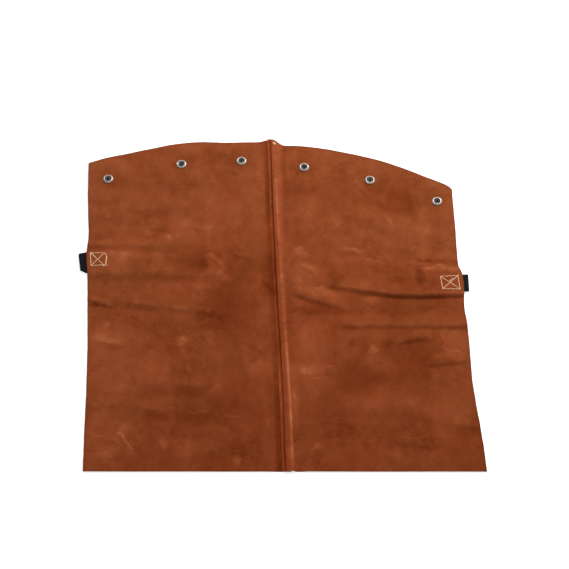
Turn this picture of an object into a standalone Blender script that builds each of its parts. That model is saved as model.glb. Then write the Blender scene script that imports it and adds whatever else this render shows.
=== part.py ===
"""Leather welding apron with a snap-fastened top edge, lying flat on its back.

Two split-leather panels meet in a welted centre seam. Six snap sockets are set along the
curved top edge. A webbing strap is sewn under each side edge and folded back under the
leather, which it lifts. X runs across the apron, +Y runs from the hem to the top edge,
and Z = 0 is the surface that it lies on. Lengths are in millimetres here and become
metres where a mesh is made.
"""

import math
from collections import namedtuple

import bmesh
import bpy

MM = 0.001

# Walls and clearances
LEATHER = 1.4
WELT = 1.2
WEBBING = 1.4
GAP = 0.3

# Centre seam: both allowances and the welt lie under the right panel
ALLOWANCE = 8.0
WELT_SHOWS = 4.0
WELT_REST = LEATHER + GAP
TURNED_UNDER = WELT_REST + WELT + GAP
FOLD_LOW = TURNED_UNDER + LEATHER
FOLD_HIGH = FOLD_LOW + GAP
FOLD_RADIUS = GAP / 2
FOLD_STEPS = 4

# Snap sockets, set through the leather
SNAP_RADIUS = 8.5
SNAP_CROWN = 2.4
FLANGE_RADIUS = 7.5
FLANGE = 1.0
POST_RADIUS = 3.0
SNAP_SEAT = FLANGE + GAP
SNAP_BASE = SNAP_SEAT + LEATHER + GAP
SNAP_STEPS = 18
SEAT_FLAT = 33.0
SEAT_REACH = 56.0

# Webbing straps: sewn down over STRAP_SEWN, folded back past the edge, laid underneath
STRAP_SEWN = 36.0
STRAP_GAP = 0.4
STRAP_BIGHT = 1.0
STRAP_REST = 0.1
SINGLE_SEAT = STRAP_REST + WEBBING + GAP
DOUBLE_SEAT = SINGLE_SEAT + STRAP_GAP + WEBBING
STRAP_FLAT = 10.0
STRAP_REACH = 26.0

# The apron's outline. The hem is straight.
HEM_Y = -322.6
WELT_TOP_Y = 322.6
Row = namedtuple("Row", "along across")
SEAM_PATH = [
    Row(-322.6, 16.8),
    Row(-200.0, 12.5),
    Row(-60.0, 5.0),
    Row(60.0, -1.0),
    Row(200.0, -6.3),
    Row(322.6, -10.2),
]
LEFT_SIDE = [
    Row(-322.6, -295.0),
    Row(-240.0, -297.0),
    Row(-150.0, -298.8),
    Row(-60.0, -303.0),
    Row(44.0, -309.5),
    Row(85.0, -313.2),
    Row(115.0, -312.0),
    Row(166.0, -315.1),
    Row(216.0, -318.6),
    Row(273.0, -320.7),
]
RIGHT_SIDE = [
    Row(-322.6, 325.0),
    Row(-250.0, 319.5),
    Row(-163.0, 312.2),
    Row(-60.0, 309.4),
    Row(-20.0, 306.8),
    Row(22.0, 308.8),
    Row(42.0, 307.0),
    Row(62.0, 301.2),
    Row(116.0, 299.8),
    Row(182.0, 298.4),
    Row(214.0, 298.4),
]
LEFT_TOP = [
    Row(-320.7, 273.0),
    Row(-291.0, 284.2),
    Row(-251.0, 295.6),
    Row(-210.0, 306.0),
    Row(-169.0, 315.0),
    Row(-128.0, 318.8),
    Row(-86.0, 317.4),
    Row(-45.0, 319.0),
    Row(8.0, 321.6),
]
RIGHT_TOP = [
    Row(-9.0, 319.0),
    Row(-2.0, 317.0),
    Row(6.0, 311.5),
    Row(16.0, 310.5),
    Row(38.0, 309.8),
    Row(79.0, 305.0),
    Row(120.0, 295.4),
    Row(161.0, 283.6),
    Row(202.0, 268.6),
    Row(242.0, 250.2),
    Row(282.0, 229.8),
    Row(293.0, 223.0),
    Row(300.0, 214.0),
]

# Where the snaps are set
Place = namedtuple("Place", "x y")
SNAPS = [
    Place(-285.5, 238.5),
    Place(-162.0, 270.0),
    Place(-59.3, 277.0),
    Place(47.9, 263.5),
    Place(159.5, 236.0),
    Place(271.7, 191.2),
]

# A strap's middle at the edge, the tip of its fold, its width, how much narrower the fold
# is bunched, and where the middle of its free end lies under the leather
Strap = namedtuple("Strap", "name side y tip width bunch end_x end_y")
STRAPS = [
    Strap("webbing_left", -1, 66.0, -324.9, 39.0, 8.0, -118.0, 60.0),
    Strap("webbing_right", 1, 25.5, 316.2, 33.0, 2.0, 96.0, 41.0),
]

# Large folds: a crest curve through three points, its height, and its reach on each side
Fold = namedtuple("Fold", "x0 y0 xm ym x1 y1 height front back")
FOLDS = [
    Fold(76, 44, 190, 34, 350, 26, 2.2, 26, 30),
    Fold(8, 16, 58, 8, 136, -4, 3.6, 16, 26),
    Fold(96, -46, 210, -44, 350, -44, 2.4, 15, 26),
    Fold(196, -76, 240, -70, 350, -66, 1.8, 14, 20),
    Fold(210, -116, 260, -110, 360, -108, 1.6, 14, 26),
    Fold(-360, 100, -205, 102, -92, 112, 2.4, 20, 26),
    Fold(-112, 92, -108, 60, -100, 26, 2.2, 14, 20),
    Fold(-360, -2, -190, -10, -80, -28, 2.4, 16, 26),
    Fold(-230, -150, -160, -166, -80, -172, 2.2, 26, 34),
    Fold(60, -180, 150, -210, 250, -200, 2.0, 34, 40),
    Fold(-250, 190, -190, 180, -120, 190, 1.6, 26, 30),
    Fold(90, 190, 160, 160, 240, 120, 1.8, 26, 30),
]
FOLD_FADE = 0.3
FOLD_SAMPLES = 12

# No fold reaches the stacked layers of the centre seam
SEAM_CALM_LEFT = 13.0
SEAM_CALM_RIGHT = 18.0
FOLD_BLEND = 26.0
SEAT_BLEND = 10.0

# Grid stations. Rows are measured on the side edge, insets from the side edge.
Span = namedtuple("Span", "start stop count")
LEFT_ROWS = [Span(HEM_Y, 22.0, 18), Span(22.0, 104.0, 9), Span(104.0, 273.0, 9)]
RIGHT_ROWS = [Span(HEM_Y, -14.0, 16), Span(-14.0, 72.0, 10), Span(72.0, 214.0, 8)]
SIDE_INSETS = [50.0, 40.0, 30.0, 20.0, 10.0, 0.0]
MIDDLE_COLUMNS = 12
LEFT_SEAM_COLUMNS = [ALLOWANCE, -WELT_SHOWS, -SEAM_CALM_LEFT, -24.0, -36.0]
RIDGE_FOOT = [
    Row(8.3, FOLD_HIGH),
    Row(10.3, 4.2),
    Row(12.8, 1.6),
    Row(15.0, 0.3),
    Row(18.0, 0.0),
    Row(28.0, 0.0),
]

Finish = namedtuple("Finish", "color roughness metallic")
BROWN_SPLIT = Finish((0.226, 0.051, 0.015), 0.9, 0.0)
WELT_SPLIT = Finish((0.30, 0.085, 0.030), 0.9, 0.0)
BLACK_WEBBING = Finish((0.012, 0.010, 0.012), 0.8, 0.0)
PLATED_STEEL = Finish((0.72, 0.70, 0.66), 0.25, 1.0)


def clear_scene():
    """Removes every object, so that the apron is all that the file holds."""
    for old in list(bpy.data.objects):
        bpy.data.objects.remove(old, do_unlink=True)


def collection_named(name):
    """Returns a new collection in the scene."""
    group = bpy.data.collections.new(name)
    bpy.context.scene.collection.children.link(group)
    return group


def material_for(node, finish):
    """Returns a Principled material with a finish's colour, roughness and metallic value."""
    material = bpy.data.materials.new(node + "_finish")
    material.use_nodes = True
    shader = material.node_tree.nodes["Principled BSDF"]
    shader.inputs["Base Color"].default_value = (*finish.color, 1.0)
    shader.inputs["Roughness"].default_value = finish.roughness
    shader.inputs["Metallic"].default_value = finish.metallic
    return material


def ease(share):
    """Returns a smooth step from 0 to 1 as share runs from 0 to 1."""
    held = min(max(share, 0.0), 1.0)
    return held * held * (3.0 - 2.0 * held)


def read(table, along):
    """Reads a table with a smooth curve through its rows."""
    last = len(table) - 1
    low = 0
    while low < last - 1 and along > table[low + 1].along:
        low += 1
    a, b = table[low], table[low + 1]
    before, after = table[max(low - 1, 0)], table[min(low + 2, last)]
    span = b.along - a.along
    slope_a = (b.across - before.across) / (b.along - before.along)
    slope_b = (after.across - a.across) / (after.along - a.along)
    t = min(max((along - a.along) / span, 0.0), 1.0)
    return (
        (2 * t**3 - 3 * t**2 + 1) * a.across
        + (t**3 - 2 * t**2 + t) * span * slope_a
        + (3 * t**2 - 2 * t**3) * b.across
        + (t**3 - t**2) * span * slope_b
    )


def crest_point(fold, t):
    """Returns the point of a fold's crest curve at share t of its run."""
    first, middle, end = (1 - t) ** 2, 2 * t * (1 - t), t**2
    x = first * fold.x0 + middle * fold.xm + end * fold.x1
    y = first * fold.y0 + middle * fold.ym + end * fold.y1
    return x, y


def fold_height(fold, x, y):
    """Returns how far one fold lifts the leather at a place."""
    nearest = None
    for step in range(FOLD_SAMPLES):
        ax, ay = crest_point(fold, step / FOLD_SAMPLES)
        bx, by = crest_point(fold, (step + 1) / FOLD_SAMPLES)
        dx, dy = bx - ax, by - ay
        length_squared = dx * dx + dy * dy
        share = min(max(((x - ax) * dx + (y - ay) * dy) / length_squared, 0.0), 1.0)
        away = math.hypot(x - ax - share * dx, y - ay - share * dy)
        beside = (y - ay) * dx - (x - ax) * dy
        if nearest is None or away < nearest[0]:
            nearest = (away, beside, (step + share) / FOLD_SAMPLES)
    away, beside, run = nearest
    reach = fold.back if beside > 0 else fold.front
    if away >= reach:
        return 0.0
    fade = ease(min(run, 1.0 - run) / FOLD_FADE)
    return fold.height * fade * (1.0 + math.cos(math.pi * away / reach)) / 2.0


def snap_lift(x, y):
    """Returns the lift that the nearest snap's back flange gives the leather."""
    away = min(math.hypot(x - snap.x, y - snap.y) for snap in SNAPS)
    return SNAP_SEAT * ease((SEAT_REACH - away) / (SEAT_REACH - SEAT_FLAT))


def strap_side(strap):
    """Returns the place of the leather's edge over a strap."""
    return read(RIGHT_SIDE if strap.side > 0 else LEFT_SIDE, strap.y)


def strap_middle(strap, from_tip):
    """Returns the middle of the strap's lower layer, at a distance from its tip."""
    length = abs(strap.end_x - strap.tip)
    return strap.y + (strap.end_y - strap.y) * from_tip / length


def seat(height, past_end, past_side):
    """Returns the leather's lift beside a strip that is height high, sloping down all round."""
    away = math.hypot(max(past_end, 0.0), max(past_side, 0.0))
    return height * ease((STRAP_REACH - away) / (STRAP_REACH - STRAP_FLAT))


def strap_lift(x, y):
    """Returns the lift that a strap gives the leather, higher where it is double."""
    best = 0.0
    for strap in STRAPS:
        from_tip = (strap.tip - x) * strap.side
        length = (strap.tip - strap.end_x) * strap.side
        sewn = (strap.tip - strap_side(strap)) * strap.side + STRAP_SEWN
        past_low = abs(y - strap_middle(strap, from_tip)) - strap.width / 2
        past_high = abs(y - strap.y) - strap.width / 2
        single = seat(SINGLE_SEAT, from_tip - length, past_low)
        double = seat(DOUBLE_SEAT, from_tip - sewn, past_high)
        best = max(best, single, double)
    return best


def lift(x, y):
    """Returns the height of the leather's underside over the surface at a place."""
    off_seam = x - read(SEAM_PATH, y)
    clear = abs(off_seam) - (SEAM_CALM_RIGHT if off_seam > 0 else SEAM_CALM_LEFT)
    folds = ease(clear / FOLD_BLEND) * sum(fold_height(fold, x, y) for fold in FOLDS)
    seats = ease(clear / SEAT_BLEND) * max(snap_lift(x, y), strap_lift(x, y))
    return folds + seats


def stations(spans):
    """Returns evenly spaced stations over each span, without repeats."""
    places = [spans[0].start]
    for span in spans:
        for step in range(1, span.count + 1):
            places.append(span.start + (span.stop - span.start) * step / span.count)
    return places


def shell(name, group, finish, columns, rows, place, wall):
    """Makes a wall from a grid whose vertices are placed by place(column, row).

    The grid is the wall's inner or lower face, and Solidify grows the wall away from it.
    """
    mesh = bpy.data.meshes.new(name)
    sheet = bmesh.new()
    bmesh.ops.create_grid(sheet, x_segments=columns - 1, y_segments=rows - 1, size=1.0)
    for vertex in sheet.verts:
        column = round((vertex.co.x + 1.0) / 2.0 * (columns - 1))
        row = round((vertex.co.y + 1.0) / 2.0 * (rows - 1))
        vertex.co = [value * MM for value in place(column, row)]
    sheet.to_mesh(mesh)
    sheet.free()
    piece = bpy.data.objects.new(name, mesh)
    piece.data.materials.append(material_for(name, finish))
    group.objects.link(piece)
    solidify = piece.modifiers.new("wall", "SOLIDIFY")
    solidify.thickness = wall * MM
    solidify.offset = 1.0
    solidify.use_even_offset = True
    return piece


def between(near, far, count):
    """Returns count evenly spaced values strictly between two values."""
    return [near + (far - near) * (step + 1) / (count + 1) for step in range(count)]


def left_columns(y):
    """Returns the left panel's column places on one row, from its side edge to the seam."""
    seam, side = read(SEAM_PATH, y), read(LEFT_SIDE, y)
    from_side = [side + inset for inset in reversed(SIDE_INSETS)]
    from_seam = [seam + offset for offset in reversed(LEFT_SEAM_COLUMNS)]
    return from_side + between(from_side[-1], from_seam[0], MIDDLE_COLUMNS) + from_seam


def right_section():
    """Returns the right panel's seam section: how far off the seam, and how high."""
    section = [Row(ALLOWANCE, FOLD_LOW)]
    centre = FOLD_RADIUS + LEATHER
    for step in range(FOLD_STEPS + 1):
        turn = math.pi * step / FOLD_STEPS
        off_seam = centre - FOLD_RADIUS * math.sin(turn)
        section.append(Row(off_seam, FOLD_LOW + FOLD_RADIUS * (1.0 - math.cos(turn))))
    return section + RIDGE_FOOT


def right_columns(y):
    """Returns the right panel's column places on one row, from the seam to its side edge."""
    seam, side = read(SEAM_PATH, y), read(RIGHT_SIDE, y)
    from_seam = [seam + point.along for point in right_section()]
    from_side = [side - inset for inset in SIDE_INSETS]
    return from_seam + between(from_seam[-1], from_side[0], MIDDLE_COLUMNS) + from_side


def on_panel(columns, top, column, share):
    """Returns a grid point's place: share of the way from the hem up its own column."""
    y = HEM_Y + share * (top[len(top) // 2].across - HEM_Y)
    for _ in range(8):
        x = columns(y)[column]
        y = HEM_Y + share * (read(top, x) - HEM_Y)
    return x, y


def row_shares(spans):
    """Returns each row's share of the way from the hem to the top of the side edge."""
    places = stations(spans)
    return [(place - HEM_Y) / (places[-1] - HEM_Y) for place in places]


def left_panel(group):
    """Makes the left panel, whose seam allowance lies flat under the right panel."""
    shares = row_shares(LEFT_ROWS)

    def place(column, row):
        x, y = on_panel(left_columns, LEFT_TOP, column, shares[row])
        return x, y, lift(x, y)

    return shell("panel_left", group, BROWN_SPLIT, len(left_columns(0.0)), len(shares), place, LEATHER)


def right_panel(group):
    """Makes the right panel, whose seam allowance is turned under along the seam."""
    shares = row_shares(RIGHT_ROWS)
    section = right_section()

    def place(column, row):
        x, y = on_panel(right_columns, RIGHT_TOP, column, shares[row])
        if column < len(section):
            return x, y, section[column].across
        return x, y, lift(x, y)

    return shell("panel_right", group, BROWN_SPLIT, len(right_columns(0.0)), len(shares), place, LEATHER)


def seam_welt(group):
    """Makes the welt strip that lies in the seam with its cut edge showing."""
    edges = [-WELT_SHOWS, 0.0, ALLOWANCE]
    rows = 24

    def place(column, row):
        y = HEM_Y + (WELT_TOP_Y - HEM_Y) * row / (rows - 1)
        return read(SEAM_PATH, y) + edges[column], y, WELT_REST

    return shell("seam_welt", group, WELT_SPLIT, len(edges), rows, place, WELT)


def snap_profile():
    """Returns a snap's half profile, down its outer side from the middle of its top."""
    floor = SNAP_BASE + 0.7
    crown = SNAP_BASE + SNAP_CROWN
    return [
        (0.0, floor - 0.4),
        (1.3, floor - 0.4),
        (1.5, floor + 0.5),
        (2.4, floor + 0.4),
        (2.9, floor),
        (5.0, floor),
        (5.5, crown - 0.6),
        (6.2, crown),
        (7.2, crown),
        (8.2, crown - 0.8),
        (SNAP_RADIUS, SNAP_BASE + 0.6),
        (SNAP_RADIUS - 0.3, SNAP_BASE),
        (POST_RADIUS, SNAP_BASE),
        (POST_RADIUS, FLANGE),
        (FLANGE_RADIUS, FLANGE),
        (FLANGE_RADIUS, 0.0),
        (0.0, 0.0),
    ]


def snap_socket(name, spot, group):
    """Makes one snap: a turned socket, its post through the leather and its back flange."""
    mesh = bpy.data.meshes.new(name)
    outline = bmesh.new()
    points = [outline.verts.new((radius * MM, 0.0, height * MM)) for radius, height in snap_profile()]
    for start, end in zip(points, points[1:]):
        outline.edges.new((start, end))
    outline.to_mesh(mesh)
    outline.free()
    mesh.materials.append(material_for(name, PLATED_STEEL))
    piece = bpy.data.objects.new(name, mesh)
    piece.location = (spot.x * MM, spot.y * MM, 0.0)
    group.objects.link(piece)
    screw = piece.modifiers.new("turned", "SCREW")
    screw.steps = SNAP_STEPS
    screw.render_steps = SNAP_STEPS
    screw.use_merge_vertices = True
    screw.merge_threshold = 0.00002
    screw.use_smooth_shade = True
    return piece


def punch(panel, spot, number, cutters):
    """Cuts a snap's hole through a panel, one clearance wider than its post."""
    bpy.ops.mesh.primitive_cylinder_add(
        vertices=SNAP_STEPS,
        radius=(POST_RADIUS + GAP) * MM,
        depth=4 * LEATHER * MM,
        location=(spot.x * MM, spot.y * MM, (SNAP_SEAT + LEATHER / 2) * MM),
    )
    cutter = bpy.context.object
    cutter.name = "hole_%d" % number
    for owner in list(cutter.users_collection):
        owner.objects.unlink(cutter)
    cutters.objects.link(cutter)
    cutter.hide_render = True
    cutter.display_type = "WIRE"
    cut = panel.modifiers.new("hole_%d" % number, "BOOLEAN")
    cut.operation = "DIFFERENCE"
    cut.object = cutter


def strap_section(out, length):
    """Returns a strap's section: how far in from its tip, and how high, low layer first.

    out is the length that stands clear of the leather, where the fold opens a little.
    """
    low = STRAP_REST + WEBBING
    centre = STRAP_BIGHT + WEBBING
    section = [Row(length, low), Row(out, low)]
    for step in range(FOLD_STEPS + 1):
        turn = math.pi * step / FOLD_STEPS
        from_tip = centre - STRAP_BIGHT * math.sin(turn)
        section.append(Row(from_tip, low + STRAP_BIGHT * (1.0 - math.cos(turn))))
    return section + [Row(out, low + STRAP_GAP), Row(out + STRAP_SEWN, low + STRAP_GAP)]


def waist_strap(strap, group):
    """Makes one webbing strap, folded back on itself past the leather's side edge."""
    out = (strap.tip - strap_side(strap)) * strap.side
    section = strap_section(out, (strap.tip - strap.end_x) * strap.side)
    if strap.side > 0:
        section.reverse()
    rows = 4

    def place(column, row):
        point = section[column]
        lower = point.across < STRAP_REST + WEBBING + STRAP_GAP / 2
        middle = strap_middle(strap, point.along) if lower else strap.y
        width = strap.width - strap.bunch * ease(1.0 - point.along / out)
        across = (row / (rows - 1) - 0.5) * width
        return strap.tip - strap.side * point.along, middle + across, point.across

    return shell(strap.name, group, BLACK_WEBBING, len(section), rows, place, WEBBING)


def build():
    """Makes every piece of the apron."""
    clear_scene()
    apron = collection_named("leather_welding_apron")
    cutters = collection_named("cutters")
    left = left_panel(apron)
    right = right_panel(apron)
    seam_welt(apron)
    for number, spot in enumerate(SNAPS, start=1):
        punch(left if spot.x < 0 else right, spot, number, cutters)
        snap_socket("snap_%d" % number, spot, apron)
    for strap in STRAPS:
        waist_strap(strap, apron)


build()
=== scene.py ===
"""Looks of a split-leather welding apron that lies flat on its back.

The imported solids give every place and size. The leather, the welt, the snaps and the
straps are replaced by finer pieces on the same forms, and the sewing is added. Lengths
are in millimetres here and become metres where a mesh is made. X runs across the apron,
+Y runs from the hem to the top edge, and Z = 0 is the surface that the apron lies on.
"""

import logging
import math
from dataclasses import dataclass, field
from enum import Enum

import bmesh
import bpy
import numpy as np
from mathutils import Matrix, Vector


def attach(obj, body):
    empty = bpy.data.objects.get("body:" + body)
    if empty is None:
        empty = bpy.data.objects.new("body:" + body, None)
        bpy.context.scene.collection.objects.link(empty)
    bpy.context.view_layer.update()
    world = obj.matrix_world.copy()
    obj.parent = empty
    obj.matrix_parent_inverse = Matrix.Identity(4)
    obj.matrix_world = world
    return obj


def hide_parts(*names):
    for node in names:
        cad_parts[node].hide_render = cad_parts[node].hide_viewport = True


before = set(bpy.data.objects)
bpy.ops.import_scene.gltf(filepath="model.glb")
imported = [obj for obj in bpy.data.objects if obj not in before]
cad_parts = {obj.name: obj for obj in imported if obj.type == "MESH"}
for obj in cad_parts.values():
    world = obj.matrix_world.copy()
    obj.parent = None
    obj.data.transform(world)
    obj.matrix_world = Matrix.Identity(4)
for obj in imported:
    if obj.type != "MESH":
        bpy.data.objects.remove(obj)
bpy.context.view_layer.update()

log = logging.getLogger("apron")

MM = 0.001
BODY = "root"
Array = np.ndarray
Pair = tuple[float, float]
Run = tuple[Pair, Pair]

# Walls and clearances, as the solids have them
LEATHER = 1.4
WELT = 1.2
WEBBING = 1.4
GAP = 0.3
ALLOWANCE = 8.0
WELT_SHOWS = 4.0
WELT_REST = LEATHER + GAP
FOLD_LOW = WELT_REST + WELT + GAP + LEATHER
SNAP_SEAT = 1.3
SNAP_BASE = SNAP_SEAT + LEATHER + GAP
STRAP_REST = 0.1
STRAP_GAP = 0.4
SINGLE_SEAT = STRAP_REST + WEBBING + GAP
DOUBLE_SEAT = SINGLE_SEAT + STRAP_GAP + WEBBING


def ease(share: Array) -> Array:
    """Returns a smooth step from 0 to 1 as share runs from 0 to 1."""
    held = np.clip(share, 0.0, 1.0)
    return held * held * (3.0 - 2.0 * held)


def ripple(places: Array, waves: tuple[tuple[float, float, float], ...]) -> Array:
    """Adds up sine waves.

    Args:
        places: Where to read them.
        waves: Each wave's height, its length in millimetres to a radian, and its shift.

    Returns:
        Their sum at each place.
    """
    return sum(height * np.sin(places / length + shift) for height, length, shift in waves)


def bell(away: Array, width: float | Array) -> Array:
    """Returns 1 where away is 0, falling softly to 0 on both sides."""
    return np.exp(-((away / width) ** 2))


@dataclass(frozen=True)
class Curve:
    """A smooth curve through stations, read along its first value."""

    stations: tuple[Pair, ...]

    def at(self, along: Array) -> Array:
        """Reads the curve.

        Args:
            along: The places to read it at. Past its ends the curve stays level.

        Returns:
            The curve's value at each place.
        """
        keys, values = np.array(self.stations).T
        last = len(keys) - 1
        places = np.asarray(along, dtype=float)
        low = np.searchsorted(keys[1:-1], places, side="left")
        before, after = np.maximum(low - 1, 0), np.minimum(low + 2, last)
        span = keys[low + 1] - keys[low]
        slope_low = (values[low + 1] - values[before]) / (keys[low + 1] - keys[before])
        slope_high = (values[after] - values[low]) / (keys[after] - keys[low])
        t = np.clip((places - keys[low]) / span, 0.0, 1.0)
        return (
            (2 * t**3 - 3 * t**2 + 1) * values[low]
            + (t**3 - 2 * t**2 + t) * span * slope_low
            + (3 * t**2 - 2 * t**3) * values[low + 1]
            + (t**3 - t**2) * span * slope_high
        )


class Slope(Enum):
    """How a fold's front side runs from its crest down to its foot."""

    ROUND = "soft at the crest and at the foot"
    STEEP = "soft at the crest, with a sharp line at the foot"

    def height(self, share: Array) -> Array:
        """Works out the height that is left on the way from the crest to the foot.

        Args:
            share: The share of the way, from 0 to 1.

        Returns:
            The share of the crest's height.
        """
        if self is Slope.STEEP:
            return 1.0 - share**2
        return (1.0 + np.cos(math.pi * share)) / 2.0


@dataclass(frozen=True)
class Fold:
    """A ridge in the leather, along a crest curve through three points."""

    start: Pair
    middle: Pair
    end: Pair
    height: float
    front: float
    back: float
    slope: Slope = Slope.ROUND
    fade: float = 0.3
    samples: int = 18

    def crest(self, t: float) -> Pair:
        """Finds a point of the crest.

        Args:
            t: The share of the crest's run, from 0 to 1.

        Returns:
            The place across and up the apron.
        """
        first, second, third = (1 - t) ** 2, 2 * t * (1 - t), t**2
        x = first * self.start[0] + second * self.middle[0] + third * self.end[0]
        y = first * self.start[1] + second * self.middle[1] + third * self.end[1]
        return x, y

    def lift_at(self, x: Array, y: Array) -> Array:
        """Works out how far the fold lifts the leather.

        Args:
            x: Places across the apron.
            y: Places up the apron.

        Returns:
            The lift at each place.
        """
        nearest = np.full(x.shape, np.inf)
        beside = np.zeros(x.shape)
        run = np.zeros(x.shape)
        for step in range(self.samples):
            ax, ay = self.crest(step / self.samples)
            bx, by = self.crest((step + 1) / self.samples)
            dx, dy = bx - ax, by - ay
            share = np.clip(((x - ax) * dx + (y - ay) * dy) / (dx * dx + dy * dy), 0.0, 1.0)
            away = np.hypot(x - ax - share * dx, y - ay - share * dy)
            closer = away < nearest
            nearest = np.where(closer, away, nearest)
            beside = np.where(closer, (y - ay) * dx - (x - ax) * dy, beside)
            run = np.where(closer, (step + share) / self.samples, run)
        behind = beside > 0
        reach = np.where(behind, self.back, self.front)
        share = np.clip(nearest / reach, 0.0, 1.0)
        height = np.where(behind, Slope.ROUND.height(share), self.slope.height(share))
        return self.height * ease(np.minimum(run, 1.0 - run) / self.fade) * height


@dataclass(frozen=True)
class StrapSeat:
    """The band of leather that a hidden strap raises."""

    side: int
    front: Curve
    back: Curve
    front_run: float
    back_run: float
    foot_x: float
    end_run: float
    double_x: float
    double_run: float
    double_back: float
    double_back_run: float
    double_lean: float

    def lift_at(self, x: Array, y: Array) -> Array:
        """Works out how far the strap lifts the leather.

        Args:
            x: Places across the apron.
            y: Places up the apron.

        Returns:
            The lift at each place.
        """
        front = ease((y - self.front.at(x)) / self.front_run)
        single = ease((self.back.at(x) - y) / self.back_run)
        single = single * ease((x - self.foot_x) * self.side / self.end_run)
        double = ease((self.double_back - y) / self.double_back_run)
        start = self.double_x + self.double_lean * (self.double_back - y)
        double = double * ease((x - start) * self.side / self.double_run)
        return front * (SINGLE_SEAT * single + (DOUBLE_SEAT - SINGLE_SEAT) * double)


@dataclass(frozen=True)
class Mark:
    """A soft patch, lighter or darker than the leather round it: a worn or oily spot, or painted shade or
    highlight.
    """

    x: float
    y: float
    half_width: float
    half_height: float
    turn: float
    strength: float

    def tone_at(self, x: Array, y: Array) -> Array:
        """Works out the patch's share of the tone.

        Args:
            x: Places across the apron.
            y: Places up the apron.

        Returns:
            The share at each place.
        """
        angle = math.radians(self.turn)
        along = (x - self.x) * math.cos(angle) + (y - self.y) * math.sin(angle)
        across = (y - self.y) * math.cos(angle) - (x - self.x) * math.sin(angle)
        away = np.hypot(along / self.half_width, across / self.half_height)
        return self.strength * ease(1.3 - away)


@dataclass(frozen=True)
class Streak:
    """A thin straight line: a scratch in the nap, or painted shade or highlight along a fold."""

    start: Pair
    end: Pair
    half_width: float
    strength: float

    def tone_at(self, x: Array, y: Array) -> Array:
        """Works out the line's share of the tone.

        Args:
            x: Places across the apron.
            y: Places up the apron.

        Returns:
            The share at each place.
        """
        dx, dy = self.end[0] - self.start[0], self.end[1] - self.start[1]
        along = ((x - self.start[0]) * dx + (y - self.start[1]) * dy) / (dx * dx + dy * dy)
        share = np.clip(along, 0.0, 1.0)
        away = np.hypot(x - self.start[0] - share * dx, y - self.start[1] - share * dy)
        ends = ease(np.minimum(share, 1.0 - share) / 0.25)
        return self.strength * ends * ease(1.0 - away / self.half_width)


SNAP_PLACES: tuple[Pair, ...] = (
    (-285.5, 238.5),
    (-162.0, 270.0),
    (-59.3, 277.0),
    (47.9, 263.5),
    (159.5, 236.0),
    (271.7, 191.2),
)

# The most that a snap is turned from square, in degrees
SNAP_TURN = 20.0

# Large folds, which the solids have too
MAIN_FOLDS: tuple[Fold, ...] = (
    Fold((84, 23), (186, -4), (318, 4), 3.0, 9, 26, fade=0.3),
    Fold((2, 25), (52, -3), (128, -20), 2.7, 10, 26, Slope.STEEP, fade=0.26),
    Fold((96, -56), (210, -52), (350, -57), 2.2, 10, 26, fade=0.16),
    Fold((180, -92), (215, -80), (264, -74), 1.9, 9, 20, fade=0.35),
    Fold((230, -128), (266, -126), (320, -119), 1.9, 8, 26, fade=0.35),
    Fold((-360, 101), (-205, 101), (-92, 112), 1.2, 14, 26, fade=0.2),
    Fold((-112, 92), (-106, 60), (-98, 26), 2.0, 14, 14),
    Fold((-360, -2), (-190, -10), (-80, -28), 1.8, 18, 26),
    Fold((-230, -150), (-160, -166), (-80, -172), 1.3, 26, 34),
    Fold((60, -180), (150, -210), (250, -200), 2.0, 34, 40),
    Fold((-250, 190), (-190, 180), (-120, 190), 1.6, 26, 30),
    Fold((90, 190), (160, 160), (240, 120), 1.8, 26, 30),
)

# Small creases, too low for the solids
SMALL_FOLDS: tuple[Fold, ...] = (
    Fold((222, 80), (262, 80), (322, 74), 1.2, 9, 18, Slope.STEEP),
    Fold((140, 90), (170, 84), (204, 66), 0.6, 8, 14, Slope.STEEP),
    Fold((34, 66), (52, 58), (76, 44), 0.6, 7, 12, Slope.STEEP),
    Fold((-326, 103), (-292, 107), (-256, 101), 0.8, 7, 12, Slope.STEEP),
    Fold((-262, 108), (-222, 104), (-180, 97), 0.6, 8, 14, Slope.STEEP),
    Fold((-316, -2), (-288, -8), (-258, -20), 1.3, 6, 12, Slope.STEEP),
    Fold((-240, -12), (-212, -14), (-184, -22), 0.8, 7, 12),
    Fold((-176, -22), (-156, -24), (-138, -28), 0.8, 5, 10, Slope.STEEP),
    Fold((-132, -26), (-110, -30), (-80, -38), 0.7, 7, 12),
    Fold((-206, 46), (-170, 40), (-120, 44), 0.4, 9, 14),
    Fold((-116, 88), (-98, 74), (-82, 54), 0.9, 6, 9, Slope.STEEP),
    Fold((-80, 62), (-90, 50), (-98, 36), 0.6, 5, 8),
    Fold((-74, 88), (-60, 84), (-42, 78), 0.9, 5, 9, Slope.STEEP),
    Fold((-292, -86), (-262, -90), (-236, -94), 0.8, 7, 12),
    Fold((-168, -166), (-140, -170), (-112, -172), 0.3, 8, 14),
    Fold((158, 184), (188, 168), (198, 128), 0.5, 6, 10),
    Fold((246, -118), (268, -120), (292, -116), 0.8, 6, 12, Slope.STEEP),
    Fold((22, 92), (40, 98), (58, 92), 0.4, 5, 9, Slope.STEEP),
    Fold((268, -234), (298, -238), (332, -246), 1.0, 8, 16, Slope.STEEP),
    Fold((-156, 266), (-148, 246), (-138, 220), 0.8, 5, 9, Slope.STEEP),
    Fold((126, 244), (148, 222), (164, 196), 0.7, 6, 10, Slope.STEEP),
    Fold((-70, -60), (-50, -90), (-44, -140), 0.8, 14, 22),
    Fold((-300, -200), (-230, -196), (-170, -210), 0.9, 16, 26),
    Fold((40, 120), (60, 150), (52, 220), 0.8, 18, 26),
    Fold((170, -270), (230, -262), (300, -276), 0.9, 16, 24),
    Fold((-60, -262), (-100, -240), (-150, -250), 0.8, 14, 20),
    Fold((-262, 158), (-210, 148), (-160, 156), 0.7, 12, 18),
)

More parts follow.
